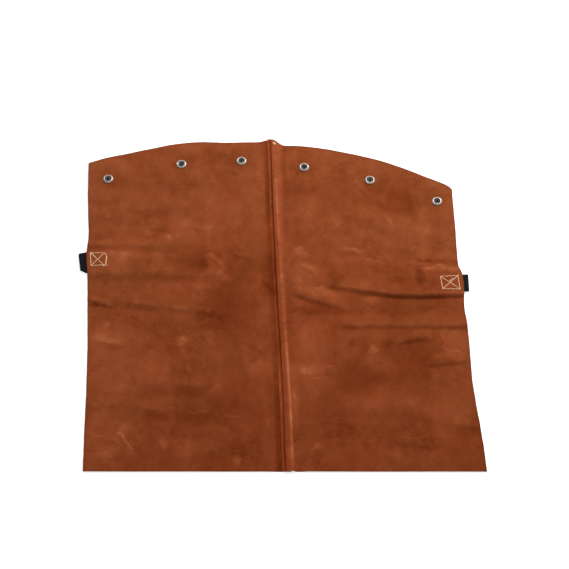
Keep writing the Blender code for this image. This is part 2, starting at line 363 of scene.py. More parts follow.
LEFT_SEAT = StrapSeat(
    side=-1,
    front=Curve(((-330.0, 30.0), (-118.0, 25.0), (-90.0, 24.0))),
    back=Curve(((-330.0, 97.0), (-190.0, 92.0), (-118.0, 90.0))),
    front_run=20.0,
    back_run=18.0,
    foot_x=-99.0,
    end_run=16.0,
    double_x=-226.0,
    double_run=44.0,
    double_back=97.0,
    double_back_run=16.0,
    double_lean=0.0,
)
RIGHT_SEAT = StrapSeat(
    side=1,
    front=Curve(
        (
            (80.0, 14.0),
            (96.0, 13.0),
            (113.0, 11.0),
            (138.0, 7.5),
            (192.0, -3.5),
            (232.0, -4.5),
            (303.0, -2.5),
        )
    ),
    back=Curve(((96.0, 86.0), (192.0, 80.0), (246.0, 74.0), (303.0, 66.0))),
    front_run=7.0,
    back_run=24.0,
    foot_x=79.0,
    end_run=22.0,
    double_x=230.0,
    double_run=14.0,
    double_back=58.5,
    double_back_run=8.5,
    double_lean=0.15,
)

# Worn and oily patches, with painted shade and highlight beside some folds and straps.
MARKS: tuple[Mark, ...] = (
    Mark(-78, 216, 62, 61, 0, 0.33),
    Mark(-149, 136, 67, 19, 0, 0.45),
    Mark(-265, 231, 34, 21, 0, -0.45),
    Mark(-113, 284, 40, 16, 0, -0.35),
    Mark(-182, 294, 34, 16, 0, -0.30),
    Mark(-146, 234, 15, 16, -40, -0.25),
    Mark(-239, 159, 34, 18, 0, -0.35),
    Mark(-193, 127, 25, 12, 10, -0.35),
    Mark(-139, 72, 50, 26, 0, -0.50),
    Mark(-59, 59, 33, 40, 0, -0.52),
    Mark(-246, 77, 39, 9, 0, 0.30),
    Mark(-195, 37, 93, 11, 0, -0.35),
    # Painted highlight on the lit side of the left strap's end.
    Mark(-92, 55, 8, 24, 20, 0.38),
    Mark(-14, 42, 14, 54, 0, -0.40),
    Mark(-112, -38, 30, 12, 0, -0.60),
    Mark(-150, -88, 11, 11, 0, 0.85),
    Mark(-105, -78, 9, 23, 0, 0.70),
    Mark(-27, -137, 29, 17, 0, 0.70),
    Mark(-282, -78, 24, 29, 0, 0.45),
    Mark(-270, -52, 8, 6, 0, 0.50),
    Mark(-132, -180, 30, 14, 4, -0.55),
    Mark(-113, -214, 68, 30, 10, -0.59),
    Mark(-260, -97, 24, 8, 0, -0.50),
    Mark(-189, -134, 32, 30, 0, 0.45),
    Mark(-84, -65, 64, 38, 0, -0.33),
    Mark(-172, -273, 8, 12, 0, 1.00),
    Mark(-142, -285, 21, 21, 0, 0.60),
    Mark(-109, -276, 18, 15, 0, 0.50),
    Mark(-236, -250, 9, 15, 0, 0.60),
    Mark(-260, -288, 19, 13, 0, 0.45),
    Mark(-59, -282, 19, 17, 0, -0.45),
    Mark(-57, -307, 9, 10, 0, 0.70),
    Mark(-188, -226, 23, 13, 0, -0.45),
    Mark(-234, -177, 26, 9, -14, 0.30),
    Mark(52, 167, 19, 39, 0, 0.45),
    Mark(203, 185, 51, 34, 0, -0.28),
    Mark(171, 220, 32, 24, 0, -0.35),
    Mark(249, 206, 20, 21, 0, -0.20),
    Mark(246, 133, 14, 62, 0, 0.40),
    Mark(96, 150, 16, 14, 0, 0.30),
    Mark(41, 216, 26, 20, 0, -0.30),
    Mark(46, 89, 13, 12, 0, 0.60),
    Mark(129, 92, 28, 5, -2, 0.60),
    Mark(51, 52, 30, 15, -18, 0.55),
    Mark(145, 73, 50, 9, 0, 0.30),
    # Painted shade on the side of the right strap's end that faces away from the light.
    Mark(96, 39, 12, 24, 0, -0.40),
    Mark(198, 34, 20, 12, 0, -0.45),
    Mark(237, 37, 11, 23, 0, -0.40),
    Mark(67, 7, 33, 12, -14, 0.60),
    Mark(154, -4, 13, 7, 0, 0.60),
    Mark(191, -27, 30, 22, 0, -0.40),
    Mark(245, -23, 19, 6, 0, -0.40),
    Mark(159, -100, 12, 9, 0, 0.75),
    Mark(109, -89, 13, 16, 0, 0.40),
    Mark(285, -85, 27, 25, 0, 0.40),
    Mark(45, -65, 30, 36, 0, 0.39),
    Mark(143, -97, 12, 21, 0, -0.40),
    Mark(178, -97, 11, 20, 0, -0.35),
    Mark(232, -84, 32, 6, 4, -0.30),
    Mark(55, -138, 64, 12, -2, 0.50),
    Mark(129, -153, 48, 35, 0, -0.39),
    Mark(161, -128, 32, 21, 0, 0.35),
    Mark(28, -202, 12, 30, 0, 0.40),
    Mark(64, -279, 10, 9, 0, 0.90),
    Mark(308, -250, 24, 18, 0, -0.40),
    Mark(209, -256, 47, 42, 0, -0.45),
    Mark(187, -292, 12, 13, 0, 0.45),
    Mark(279, -214, 29, 28, 0, 0.33),
    Mark(96, -244, 36, 30, 0, -0.26),
    Mark(133, -214, 37, 31, 0, 0.26),
    # Painted shade in the trough below a fold, with some dirt in it.
    Mark(76, -29, 58, 9, -2, -0.60),
    Mark(121, -90, 7, 8, 0, -0.50),
    Mark(180, -96, 6, 9, 0, -0.50),
    # Painted shade at the right strap's end.
    Mark(98, 28, 12, 18, -20, -0.30),
    Mark(-190, 130, 14, 5, -25, -0.55),
    Mark(-128, 132, 9, 5, -35, -0.45),
    Mark(-211, 60, 4, 18, 0, -0.40),
    Mark(-280, 28, 4, 3, 0, -0.70),
    Mark(-204, 8, 3, 8, 10, 0.45),
    # Painted shade beside the left strap's end.
    Mark(-133, 66, 26, 26, 0, -0.25),
    # Painted shade along the foot of a fold, with some dirt in the crease.
    Mark(205, 1, 56, 4, -6, -0.25),
    # Painted shade at the right strap's end.
    Mark(100, 22, 14, 10, -30, -0.40),
    # These three: painted shade along the feet of folds, with some dirt in the creases.
    Mark(120, -62, 14, 5, 0, -0.50),
    Mark(290, -60, 22, 4, 0, -0.45),
    Mark(60, -14, 42, 4, -20, -0.35),
    # Painted highlight on the back slope of the right strap's doubled seat.
    Mark(272, 57, 34, 5, 1, 0.80),
    Mark(46, 32, 22, 12, -20, 0.40),
    # Painted shade beside the left strap's end, then painted highlight on its lit side.
    Mark(-122, 66, 14, 12, 0, -0.30),
    Mark(-88, 44, 9, 14, 0, 0.36),
    Mark(-56, -292, 12, 6, 0, -0.45),
    # Painted shade along the foot of a fold, with some dirt in the crease.
    Mark(-300, -16, 16, 4, -20, -0.60),
    Mark(176, 196, 14, 8, -30, 0.30),
    Mark(-176, 118, 8, 8, 0, 0.60),
    Mark(-210, 128, 12, 6, 0, 0.50),
    Mark(152, -100, 5, 5, 0, 0.25),
    Mark(-76, -6, 48, 60, 0, -0.52),
    Mark(-255, -125, 50, 75, 0, 0.52),
    Mark(-258, -255, 52, 75, 0, 0.59),
    Mark(50, -125, 45, 75, 0, 0.45),
    Mark(225, -125, 55, 75, 0, -0.39),
    Mark(220, -5, 55, 55, 0, -0.33),
    Mark(225, 215, 60, 50, 0, -0.25),
    Mark(-76, 240, 48, 60, 0, -0.26),
    Mark(-262, 115, 50, 60, 0, 0.26),
    Mark(130, -125, 50, 70, 0, -0.26),
)
# Streaks in the nap, with painted shade and highlight along some folds.
STREAKS: tuple[Streak, ...] = (
    Streak((-216, -210), (-149, -213), 2.6, 0.61),
    Streak((-156, -212), (-94, -221), 2.8, 0.72),
    Streak((-102, -219), (-43, -230), 2.6, 0.55),
    Streak((-211, -207), (-210, -236), 2.4, 0.39),
    Streak((-210, -230), (-214, -260), 2.4, 0.44),
    Streak((-213, -252), (-208, -270), 2.4, 0.33),
    Streak((-256, -238), (-230, -242), 2.6, 0.50),
    Streak((-247, -252), (-229, -268), 3.0, 0.66),
    Streak((-232, -262), (-220, -286), 2.8, 0.66),
    Streak((-222, -279), (-217, -298), 2.6, 0.50),
    Streak((-237, -260), (-224, -276), 2.6, 0.50),
    Streak((-227, -271), (-220, -293), 2.6, 0.50),
    Streak((-290, -264), (-264, -258), 2.6, 0.39),
    Streak((-270, -259), (-246, -258), 2.4, 0.33),
    Streak((-153, -210), (-156, -238), 2.4, 0.39),
    Streak((-138, -120), (-130, -147), 2.6, 0.50),
    Streak((-121, -120), (-111, -140), 2.6, 0.44),
    Streak((-102, -184), (-88, -167), 2.6, 0.50),
    Streak((-66, -288), (-48, -291), 3.0, 0.88),
    Streak((-12, -230), (-14, -274), 2.8, 0.39),
    Streak((-151, -90), (-150, -54), 2.6, 0.39),
    Streak((-151, -94), (-130, -152), 2.8, 0.50),
    Streak((-149, -97), (-155, -120), 2.6, 0.44),
    Streak((-158, -96), (-172, -128), 2.6, 0.28),
    Streak((161, 179), (185, 157), 2.6, 0.44),
    Streak((181, 160), (196, 148), 2.6, 0.50),
    Streak((194, 153), (195, 126), 2.6, 0.33),
    Streak((116, 98), (151, 84), 3.0, 0.44),
    Streak((271, -66), (269, -106), 3.4, 0.55),
    Streak((266, -103), (300, -106), 3.4, 0.55),
    Streak((28, 91), (50, 98), 2.8, 0.33),
    Streak((-109, 82), (-95, 66), 2.8, 0.30),
    Streak((-98, 69), (-83, 56), 3.0, 0.30),
    Streak((-84, 59), (-95, 40), 3.4, 0.30),
    Streak((-68, 82), (-45, 75), 2.6, 0.39),
    Streak((-56, 73), (-64, 60), 2.6, 0.33),
    Streak((-263, 37), (-177, 28), 3.0, 0.28),
    Streak((-86, 180), (-66, 176), 2.6, 0.39),
    Streak((102, -169), (58, -156), 2.6, 0.33),
    Streak((-78, 256), (-60, 244), 3.0, -0.54),
    # Painted shade along the foot of a fold, with some dirt in the crease.
    Streak((-152, 262), (-139, 224), 3.0, -0.72),
    Streak((-30, 36), (4, 4), 3.6, -0.63),
    # Painted shade along the foot of a fold, with some dirt in the crease.
    Streak((224, 72), (262, 69), 3.6, -0.72),
    # Painted highlight on the back slope of the right strap's doubled seat, then painted shade on its left
    # edge.
    Streak((240, 59), (304, 60), 3.4, 0.28),
    Streak((235, 56), (234, 20), 3.6, -0.15),
    Streak((190, -93), (230, -80), 3.0, -0.10),
    # These two: painted shade along the feet of folds, with some dirt in the creases.
    Streak((-302, -12), (-272, -26), 3.0, -0.50),
    Streak((-228, -20), (-194, -28), 2.8, -0.45),
)

# Runs of stitches: each strap's box, its cross and its loose thread, and the seam's top end
LEFT_BOX: tuple[Run, ...] = (
    ((-306.8, 83.8), (-283.1, 83.6)),
    ((-283.1, 83.6), (-279.5, 77.5)),
    ((-279.5, 77.5), (-280.2, 59.5)),
    ((-280.2, 59.5), (-303.8, 57.3)),
    ((-303.8, 57.3), (-306.8, 83.8)),
    ((-303.8, 57.3), (-285.0, 81.6)),
    ((-306.8, 83.8), (-282.1, 58.1)),
    ((-305.4, 83.6), (-297.4, 73.8)),
    ((-278.6, 77.0), (-279.4, 62.0)),
    ((-285.3, 56.9), (-276.5, 58.5)),
)
RIGHT_BOX: tuple[Run, ...] = (
    ((270.1, 36.1), (298.5, 37.6)),
    ((298.5, 37.6), (301.0, 10.6)),
    ((301.0, 10.6), (272.3, 10.8)),
    ((272.3, 10.8), (270.1, 36.1)),
    ((270.1, 36.1), (301.0, 10.6)),
    ((298.5, 37.6), (272.3, 10.8)),
    ((283.4, 26.6), (291.0, 32.4)),
    ((298.5, 37.6), (299.5, 40.2)),
)
SEAM_END: tuple[Run, ...] = (
    ((-6.2, 314.8), (-1.8, 309.8)),
    ((-5.0, 315.2), (-0.6, 310.6)),
    ((-4.8, 313.0), (-2.2, 309.4)),
)


@dataclass(frozen=True)
class ApronPlan:
    """The apron's outline, seen from above, and the height of the leather's underside."""

    hem_y: float = -322.6
    seam: Curve = Curve(
        (
            (-322.6, 17.2),
            (-267.0, 15.1),
            (-214.0, 13.7),
            (-161.0, 11.2),
            (-104.0, 8.7),
            (-48.0, 5.5),
            (11.0, 2.7),
            (77.0, -0.4),
            (136.0, -2.8),
            (195.0, -5.1),
            (258.0, -7.1),
            (300.0, -8.5),
            (322.6, -9.2),
        )
    )
    left_side: Curve = Curve(
        (
            (-322.6, -295.0),
            (-240.0, -297.0),
            (-150.0, -298.8),
            (-60.0, -303.0),
            (44.0, -309.5),
            (85.0, -313.2),
            (115.0, -312.0),
            (166.0, -315.1),
            (216.0, -318.6),
            (273.0, -320.7),
        )
    )
    right_side: Curve = Curve(
        (
            (-322.6, 325.0),
            (-285.0, 322.9),
            (-245.0, 319.7),
            (-200.0, 314.9),
            (-163.0, 311.9),
            (-118.0, 311.2),
            (-60.0, 309.6),
            (-20.0, 306.8),
            (22.0, 307.6),
            (42.0, 305.8),
            (62.0, 301.2),
            (116.0, 300.1),
            (182.0, 298.8),
            (214.0, 298.4),
        )
    )
    left_top: Curve = Curve(
        (
            (-320.7, 273.0),
            (-291.0, 284.2),
            (-251.0, 295.6),
            (-210.0, 306.0),
            (-169.0, 315.0),
            (-128.0, 319.5),
            (-86.0, 317.6),
            (-45.0, 318.5),
            (-33.0, 319.4),
            (-24.0, 321.6),
            (-18.0, 323.4),
            (-12.0, 323.6),
            (-8.0, 321.4),
            (-2.0, 317.0),
            (8.0, 312.0),
        )
    )
    right_top: Curve = Curve(
        (
            (-10.0, 323.2),
            (-4.0, 320.6),
            (1.5, 317.0),
            (6.7, 313.6),
            (11.0, 312.2),
            (17.0, 311.6),
            (38.0, 310.4),
            (79.0, 305.5),
            (120.0, 295.7),
            (161.0, 284.0),
            (202.0, 269.0),
            (242.0, 250.2),
            (282.0, 229.8),
            (293.0, 223.0),
            (300.0, 214.0),
        )
    )
    calm_left: float = 13.0
    calm_right: float = 16.0
    fold_blend: float = 22.0
    seat_blend: float = 10.0
    seat_flat: float = 33.0
    seat_reach: float = 56.0
    wave_height: float = 0.22
    cut_waves: tuple = ((0.175, 17.0, 0.7), (0.105, 7.3, 2.1), (0.07, 3.4, 0.0))
    snap_calm: float = 0.8
    snap_calm_reach: float = 30.0
    snap_calm_blend: float = 20.0

    def hand_cut(self, along: Array) -> Array:
        """Returns how far a hand-cut edge strays from its line."""
        return ripple(along, self.cut_waves)

    def wander(self, x: Array, y: Array) -> tuple[Array, Array]:
        """Moves places about by a few millimetres, so that marks get uneven outlines.

        Args:
            x: Places across the apron.
            y: Places up the apron.

        Returns:
            The moved places across and up the apron.
        """
        moved_x = x + 2.6 * np.sin(y / 6.1 + 1.3 * np.sin(x / 9.7)) + 1.4 * np.sin(y / 3.3 + x / 4.3)
        moved_y = y + 2.2 * np.sin(x / 7.3 + 1.1 * np.sin(y / 11.9)) + 1.2 * np.sin(x / 3.7 - y / 5.1)
        return moved_x, moved_y

    def waves(self, x: Array, y: Array) -> Array:
        """Makes the low waves of leather that has been folded and laid out again.

        Args:
            x: Places across the apron.
            y: Places up the apron.

        Returns:
            The waves' height at each place.
        """
        first = np.sin(x / 31.0 + y / 47.0 + 0.4)
        second = np.sin(x / 53.0 - y / 29.0 + 1.9)
        third = np.sin(y / 19.0 + 0.8 * np.sin(x / 41.0))
        return self.wave_height * (3.0 + first + second + third)

    def lift(self, x: Array, y: Array) -> Array:
        """Works out the height of the leather's underside.

        Args:
            x: Places across the apron.
            y: Places up the apron.

        Returns:
            The height over the surface that the apron lies on.
        """
        off_seam = x - self.seam.at(y)
        clear = np.abs(off_seam) - np.where(off_seam > 0, self.calm_right, self.calm_left)
        away = np.full(x.shape, np.inf)
        for snap_x, snap_y in SNAP_PLACES:
            away = np.minimum(away, np.hypot(x - snap_x, y - snap_y))
        near_snap = ease((self.seat_reach - away) / (self.seat_reach - self.seat_flat))
        seats = np.maximum(LEFT_SEAT.lift_at(x, y), RIGHT_SEAT.lift_at(x, y))
        seats = np.maximum(SNAP_SEAT * near_snap, seats)
        folds = sum(fold.lift_at(x, y) for fold in MAIN_FOLDS + SMALL_FOLDS)
        calm = self.snap_calm * ease((self.snap_calm_reach - away) / self.snap_calm_blend)
        folds = (folds + self.waves(x, y)) * (1.0 - calm)
        return ease(clear / self.fold_blend) * folds + ease(clear / self.seat_blend) * seats


PLAN = ApronPlan()


def grid_piece(
    name: str,
    points: Array,
    values: dict[str, Array] | None = None,
    holes: tuple[Pair, ...] = (),
) -> bpy.types.Object:
    """Makes a sheet from a grid of points.

    Args:
        name: The piece's name.
        points: Places in millimetres, as rows by columns by three.
        values: Point attributes by name, each rows by columns.
        holes: Places of the snap posts, where the sheet is opened.

    Returns:
        The new object, linked to the scene.
    """
    rows, columns, _ = points.shape
    sheet = bmesh.new()
    bmesh.ops.create_grid(sheet, x_segments=columns - 1, y_segments=rows - 1, size=1.0)
    layers = {label: sheet.verts.layers.float.new(label) for label in values or {}}
    for vertex in sheet.verts:
        column = round((vertex.co.x + 1.0) / 2.0 * (columns - 1))
        row = round((vertex.co.y + 1.0) / 2.0 * (rows - 1))
        vertex.co = points[row, column] * MM
        for label, layer in layers.items():
            vertex[layer] = values[label][row, column]
    for place in holes:
        open_hole(sheet, place)
    return finish_mesh(name, sheet)


def open_hole(sheet: bmesh.types.BMesh, place: Pair, radius: float = 3.3, cut: float = 4.4) -> None:
    """Opens a round hole in a sheet.

    Args:
        sheet: The sheet, in metres.
        place: The hole's middle in millimetres.
        radius: The hole's radius in millimetres.
        cut: Faces whose middle is nearer than this are taken out.
    """
    middle = Vector((place[0] * MM, place[1] * MM, 0.0))

    def away(point: Vector) -> float:
        """Returns a point's distance from the hole's middle, seen from above."""
        return (point - middle).to_2d().length / MM

    inside = [face for face in sheet.faces if away(face.calc_center_median()) < cut]
    bmesh.ops.delete(sheet, geom=inside, context="FACES")
    for vertex in sheet.verts:
        if vertex.is_boundary and away(vertex.co) < 2 * cut:
            spoke = (vertex.co - middle).to_2d().normalized() * radius * MM
            vertex.co.x = middle.x + spoke.x
            vertex.co.y = middle.y + spoke.y


def finish_mesh(name: str, shape: bmesh.types.BMesh) -> bpy.types.Object:
    """Turns a bmesh into a smooth-shaded object in the scene, and frees the bmesh.

    Args:
        name: The object's name.
        shape: The bmesh, in metres.

    Returns:
        The new object.
    """
    mesh = bpy.data.meshes.new(name)
    for face in shape.faces:
        face.smooth = True
    shape.to_mesh(mesh)
    shape.free()
    piece = bpy.data.objects.new(name, mesh)
    bpy.context.scene.collection.objects.link(piece)
    return piece


def add_wall(piece: bpy.types.Object, wall: float, edge: float) -> None:
    """Gives a sheet its wall, away from its lower face, with rounded cut edges.

    Args:
        piece: The sheet, whose second material is that of the cut edge.
        wall: The wall's thickness in millimetres.
        edge: The radius of the rounding in millimetres.
    """
    solidify = piece.modifiers.new("wall", "SOLIDIFY")
    solidify.thickness = wall * MM
    solidify.offset = 1.0
    solidify.use_even_offset = True
    solidify.material_offset_rim = 1
    bevel = piece.modifiers.new("edge", "BEVEL")
    bevel.width = edge * MM
    bevel.segments = 2
    bevel.limit_method = "ANGLE"
    bevel.angle_limit = math.radians(60.0)
    bevel.profile = 0.5
    bevel.material = -1


class Signal:
    """A shader value that adds a Math node for each sum it is used in."""

    def __init__(self, shader: "Shader", socket: bpy.types.NodeSocket) -> None:
        """Keeps the tree that the value is in, and its socket."""
        self.shader = shader
        self.socket = socket

    def _math(self, operation: str, first: object, second: object) -> "Signal":
        """Returns the signal of a Math node on two values."""
        node = self.shader.node("ShaderNodeMath", {"operation": operation}, {0: first, 1: second})
        return Signal(self.shader, node.outputs[0])

    def __add__(self, other: object) -> "Signal":
        """Returns this value plus another."""
        return self._math("ADD", self, other)

    def __radd__(self, other: object) -> "Signal":
        """Returns a number plus this value."""
        return self._math("ADD", other, self)

    def __sub__(self, other: object) -> "Signal":
        """Returns this value less another."""
        return self._math("SUBTRACT", self, other)

    def __rsub__(self, other: object) -> "Signal":
        """Returns a number less this value."""
        return self._math("SUBTRACT", other, self)

    def __mul__(self, other: object) -> "Signal":
        """Returns this value times another."""
        return self._math("MULTIPLY", self, other)

    def __rmul__(self, other: object) -> "Signal":
        """Returns a number times this value."""
        return self._math("MULTIPLY", other, self)

    def over(self, threshold: float, gain: float) -> "Signal":
        """Returns 0 below a threshold, rising at a gain to no more than 1."""
        raised = (self - threshold) * gain
        raised.socket.node.use_clamp = True
        return raised

    def sine(self) -> "Signal":
        """Returns the sine of this value."""
        return self._math("SINE", self, 0.0)

    def magnitude(self) -> "Signal":
        """Returns this value without its sign."""
        return self._math("ABSOLUTE", self, 0.0)


class Shader:
    """A material's node tree, built one node at a time."""

    def __init__(self, name: str) -> None:
        """Starts an empty material."""
        self.material = bpy.data.materials.new(name)
        self.material.use_nodes = True
        self.tree = self.material.node_tree
        self.tree.nodes.clear()

    def node(self, kind: str, settings: dict | None = None, sockets: dict | None = None) -> bpy.types.Node:
        """Adds a node.

        Args:
            kind: The node's type.
            settings: Its own settings, set first. A ramp's stops are given as "stops".
            sockets: Values or links of its input sockets, by name or number.

        Returns:
            The new node.
        """
        node = self.tree.nodes.new(kind)
        for key, value in (settings or {}).items():
            if key == "stops":
                self._set_stops(node, value)
            else:
                setattr(node, key, value)
        for key, value in (sockets or {}).items():
            if isinstance(value, Signal):
                value = value.socket
            if isinstance(value, bpy.types.NodeSocket):
                self.tree.links.new(value, node.inputs[key])
            else:
                node.inputs[key].default_value = value
        return node

    def _set_stops(self, node: bpy.types.Node, stops: tuple) -> None:
        """Sets a ramp's stops.

        Args:
            node: The ramp.
            stops: Its stops, each a position and a linear colour.
        """
        elements = node.color_ramp.elements
        while len(elements) < len(stops):
            elements.new(1.0)
        for element, (position, color) in zip(elements, stops):
            element.position = position
            element.color = (*color, 1.0)

    def noise(self, scale: float, detail: float, offset: float = 0.0, stretch: Pair = (1.0, 1.0)) -> Signal:
        """Reads a noise on Object coordinates, centred on 0.

        Args:
            scale: Waves in a metre.
            detail: How many finer layers it has.
            offset: How far it is moved, so that two noises differ.
            stretch: Its scale across and up the apron, beside scale.

        Returns:
            The noise, between about -0.3 and 0.3.
        """
        place = self.node("ShaderNodeTexCoord").outputs["Object"]
        moved = {"Vector": place, "Location": (offset,) * 3, "Scale": (*stretch, 1.0)}
        mapping = self.node("ShaderNodeMapping", None, moved)
        source = {"Vector": mapping.outputs[0], "Scale": scale, "Detail": detail, "Roughness": 0.6}
        return Signal(self, self.node("ShaderNodeTexNoise", None, source).outputs[0]) - 0.5

    def axes(self) -> tuple[Signal, Signal]:
        """Returns the places across and up the apron, in metres."""
        place = self.node("ShaderNodeTexCoord").outputs["Object"]
        parts = self.node("ShaderNodeSeparateXYZ", None, {0: place})
        return Signal(self, parts.outputs[0]), Signal(self, parts.outputs[1])

    def attribute(self, name: str) -> Signal:
        """Returns the piece's own point attribute."""
        node = self.node("ShaderNodeAttribute", {"attribute_name": name})
        return Signal(self, node.outputs["Fac"])

    def ramp(self, factor: Signal, stops: tuple) -> bpy.types.NodeSocket:
        """Returns the colour that a ramp gives a value."""
        return self.node("ShaderNodeValToRGB", {"stops": stops}, {0: factor}).outputs[0]

    def tint(self, factor: Signal, color: bpy.types.NodeSocket, by: tuple) -> bpy.types.NodeSocket:
        """Returns a colour multiplied by another, as far as a factor says."""
        settings = {"data_type": "RGBA", "blend_type": "MULTIPLY", "clamp_factor": True}
        return self.node("ShaderNodeMix", settings, {0: factor, 6: color, 7: (*by, 1.0)}).outputs[2]

    def bump(self, height: Signal, depth: float, strength: float) -> bpy.types.NodeSocket:
        """Returns a normal for a height, whose full range is depth millimetres."""
        sockets = {"Height": height, "Distance": depth * MM, "Strength": strength}
        return self.node("ShaderNodeBump", None, sockets).outputs[0]

    def surface(self, sockets: dict) -> bpy.types.Material:
        """Ends the tree in a Principled BSDF and returns the material."""
        shader = self.node("ShaderNodeBsdfPrincipled", None, sockets)
        self.node("ShaderNodeOutputMaterial", None, {"Surface": shader.outputs[0]})
        return self.material


def shown(red: int, green: int, blue: int) -> tuple[float, float, float]:
    """Finds the linear colour that looks like a screen colour.

    Args:
        red: The screen colour's red, from 0 to 255.
        green: Its green.
        blue: Its blue.

    Returns:
        The linear colour.
    """

    def linear(value: int) -> float:
        """Returns one linear channel, from 0 to 1."""
        share = value / 255.0
        return share / 12.92 if share <= 0.04045 else ((share + 0.055) / 1.055) ** 2.4

    return linear(red), linear(green), linear(blue)


@dataclass(frozen=True)
class Grain:
    """One kind of mark in the nap: a noise, and what it does to the leather.

    With a gain, only the peaks over the threshold show.
    """

    scale: float
    detail: float
    offset: float
    stretch: Pair = (1.0, 1.0)
    threshold: float = 0.0
    gain: float = 0.0
    shade: float = 0.0
    height: float = 0.0
    dullness: float = 0.0

    def signal(self, shader: Shader, offset: float) -> Signal:
        """Returns the mark in a shader, moved on by the finish's own offset."""
        level = shader.noise(self.scale, self.detail, self.offset + offset, self.stretch)
        return level.over(self.threshold, self.gain) if self.gain else level


@dataclass(frozen=True)
class Wrinkle:
    """Thin wavy lines in the nap, which show only in patches."""

    lines: Grain
    patches: Grain
    shade: float
    height: float
    width: float = 0.028
    dullness: float = 0.0

    def signal(self, shader: Shader, offset: float) -> Signal:
        """Returns 1 on each line, where the noise passes 0, and 0 away from them."""
        away = self.lines.signal(shader, offset).magnitude()
        line = (self.width - away).over(0.0, 1.0 / self.width)
        return line * self.patches.signal(shader, offset)


# What the nap is made of, from broad clouds to single hairs, and the creases in it
CLOUD = Grain(7.0, 3.0, 0.0, shade=0.34)
PATCH = Grain(24.0, 4.0, 3.1, (1.2, 0.8), shade=0.36)
MOTTLE = Grain(85.0, 4.0, 7.7, (1.25, 0.8), shade=0.18, height=0.2, dullness=0.25)
BLOTCH = Grain(46.0, 1.0, 23.0, (1.1, 0.9), threshold=-0.06, gain=7.0, shade=0.06)
SPECK = Grain(420.0, 3.0, 5.2, shade=0.17, height=0.7)
FLECK = Grain(150.0, 2.0, 37.0, (0.4, 1.3), threshold=0.15, gain=9.0, shade=0.11)
PIT = Grain(210.0, 1.0, 43.0, threshold=0.2, gain=12.0, shade=-0.22)
NAP = Grain(1100.0, 3.0, 1.4, height=0.6)
DARK_WRINKLE = Wrinkle(
    lines=Grain(15.0, 4.0, 51.0, (0.85, 1.35)),
    patches=Grain(9.0, 2.0, 57.0, threshold=-0.02, gain=9.0),
    shade=-0.11,
    height=-0.4,
)
PALE_WRINKLE = Wrinkle(
    lines=Grain(19.0, 4.0, 63.0, (0.85, 1.35)),
    patches=Grain(11.0, 2.0, 69.0, threshold=0.0, gain=9.0),
    shade=0.1,
    height=0.3,
)


@dataclass(frozen=True)
class SuedeFinish:
    """Brown split leather: a brushed, mottled nap, lighter where it is worn, with painted shade and
    highlight in its tone.

    A point attribute paints light into the narrow creases of the seam, standing in for
    the light that goes from leather to leather before it comes out.
    """

    name: str = "brown_split_leather"
    offset: float = 0.0
    grains: tuple = (CLOUD, PATCH, MOTTLE, BLOTCH, SPECK, FLECK, PIT, NAP, DARK_WRINKLE, PALE_WRINKLE)
    plain_level: float = 0.47
    tone_depth: float = 0.3
    plain_dullness: float = 0.9
    red_patches: Grain = Grain(13.0, 2.0, 19.0)
    red_depth: float = 2.0
    red_level: float = 0.8
    red_gain: tuple = (1.01, 0.87, 0.86)
    faded_across: float = 1.7
    faded_up: float = 1.0
    painted_bounce_gain: tuple = (1.35, 1.12, 0.95)
    stops: tuple = (
        (0.0, shown(92, 38, 11)),
        (0.3, shown(117, 54, 22)),
        (0.5, shown(132, 66, 33)),
        (0.7, shown(147, 77, 43)),
        (1.0, shown(176, 114, 76)),
    )

    def material(self) -> bpy.types.Material:
        """Builds the finish and returns its material."""
        shader = Shader(self.name)
        level = self.plain_level + self.tone_depth * shader.attribute("tone")
        height, dullness = 0.0, self.plain_dullness
        for grain in self.grains:
            mark = grain.signal(shader, self.offset)
            level = level + grain.shade * mark if grain.shade else level
            height = height + grain.height * mark if grain.height else height
            dullness = dullness + grain.dullness * mark if grain.dullness else dullness
        across, up = shader.axes()
        faded = self.faded_across * across.magnitude() + self.faded_up * up
        reddish = self.red_depth * self.red_patches.signal(shader, self.offset) + self.red_level
        color = shader.ramp(level, self.stops)
        color = shader.tint(reddish - faded, color, self.red_gain)
        # Painted light in the seam's creases: brighter and redder there.
        color = shader.tint(shader.attribute("painted_bounce"), color, self.painted_bounce_gain)
        return shader.surface(
            {
                "Base Color": color,
                "Roughness": dullness,
                "Specular IOR Level": 0.04,
                "Sheen Weight": 0.01,
                "Sheen Roughness": 0.5,
                "Sheen Tint": (*shown(220, 130, 80), 1.0),
                "Normal": shader.bump(height, 0.5, 0.5),
            }
        )


@dataclass(frozen=True)
class CutEdgeFinish:
    """The fibres of a cut edge, paler than the dyed nap."""

    name: str = "cut_edge_fibre"
    dark: tuple = shown(112, 58, 32)
    pale: tuple = shown(166, 106, 70)
    fibre_depth: float = 1.2
    patch_depth: float = 0.8
    tone_depth: float = 0.3

    def material(self) -> bpy.types.Material:
        """Builds the finish and returns its material."""
        shader = Shader(self.name)
        fibre = shader.noise(900.0, 4.0)
        level = 0.5 + self.fibre_depth * fibre + self.patch_depth * shader.noise(60.0, 3.0, 4.0)
        level = level + self.tone_depth * shader.attribute("tone")
        color = shader.ramp(level, ((0.2, self.dark), (0.85, self.pale)))
        return shader.surface(
            {
                "Base Color": color,
                "Roughness": 0.95,
                "Specular IOR Level": 0.15,
                "Normal": shader.bump(fibre, 0.4, 0.6),
            }
        )


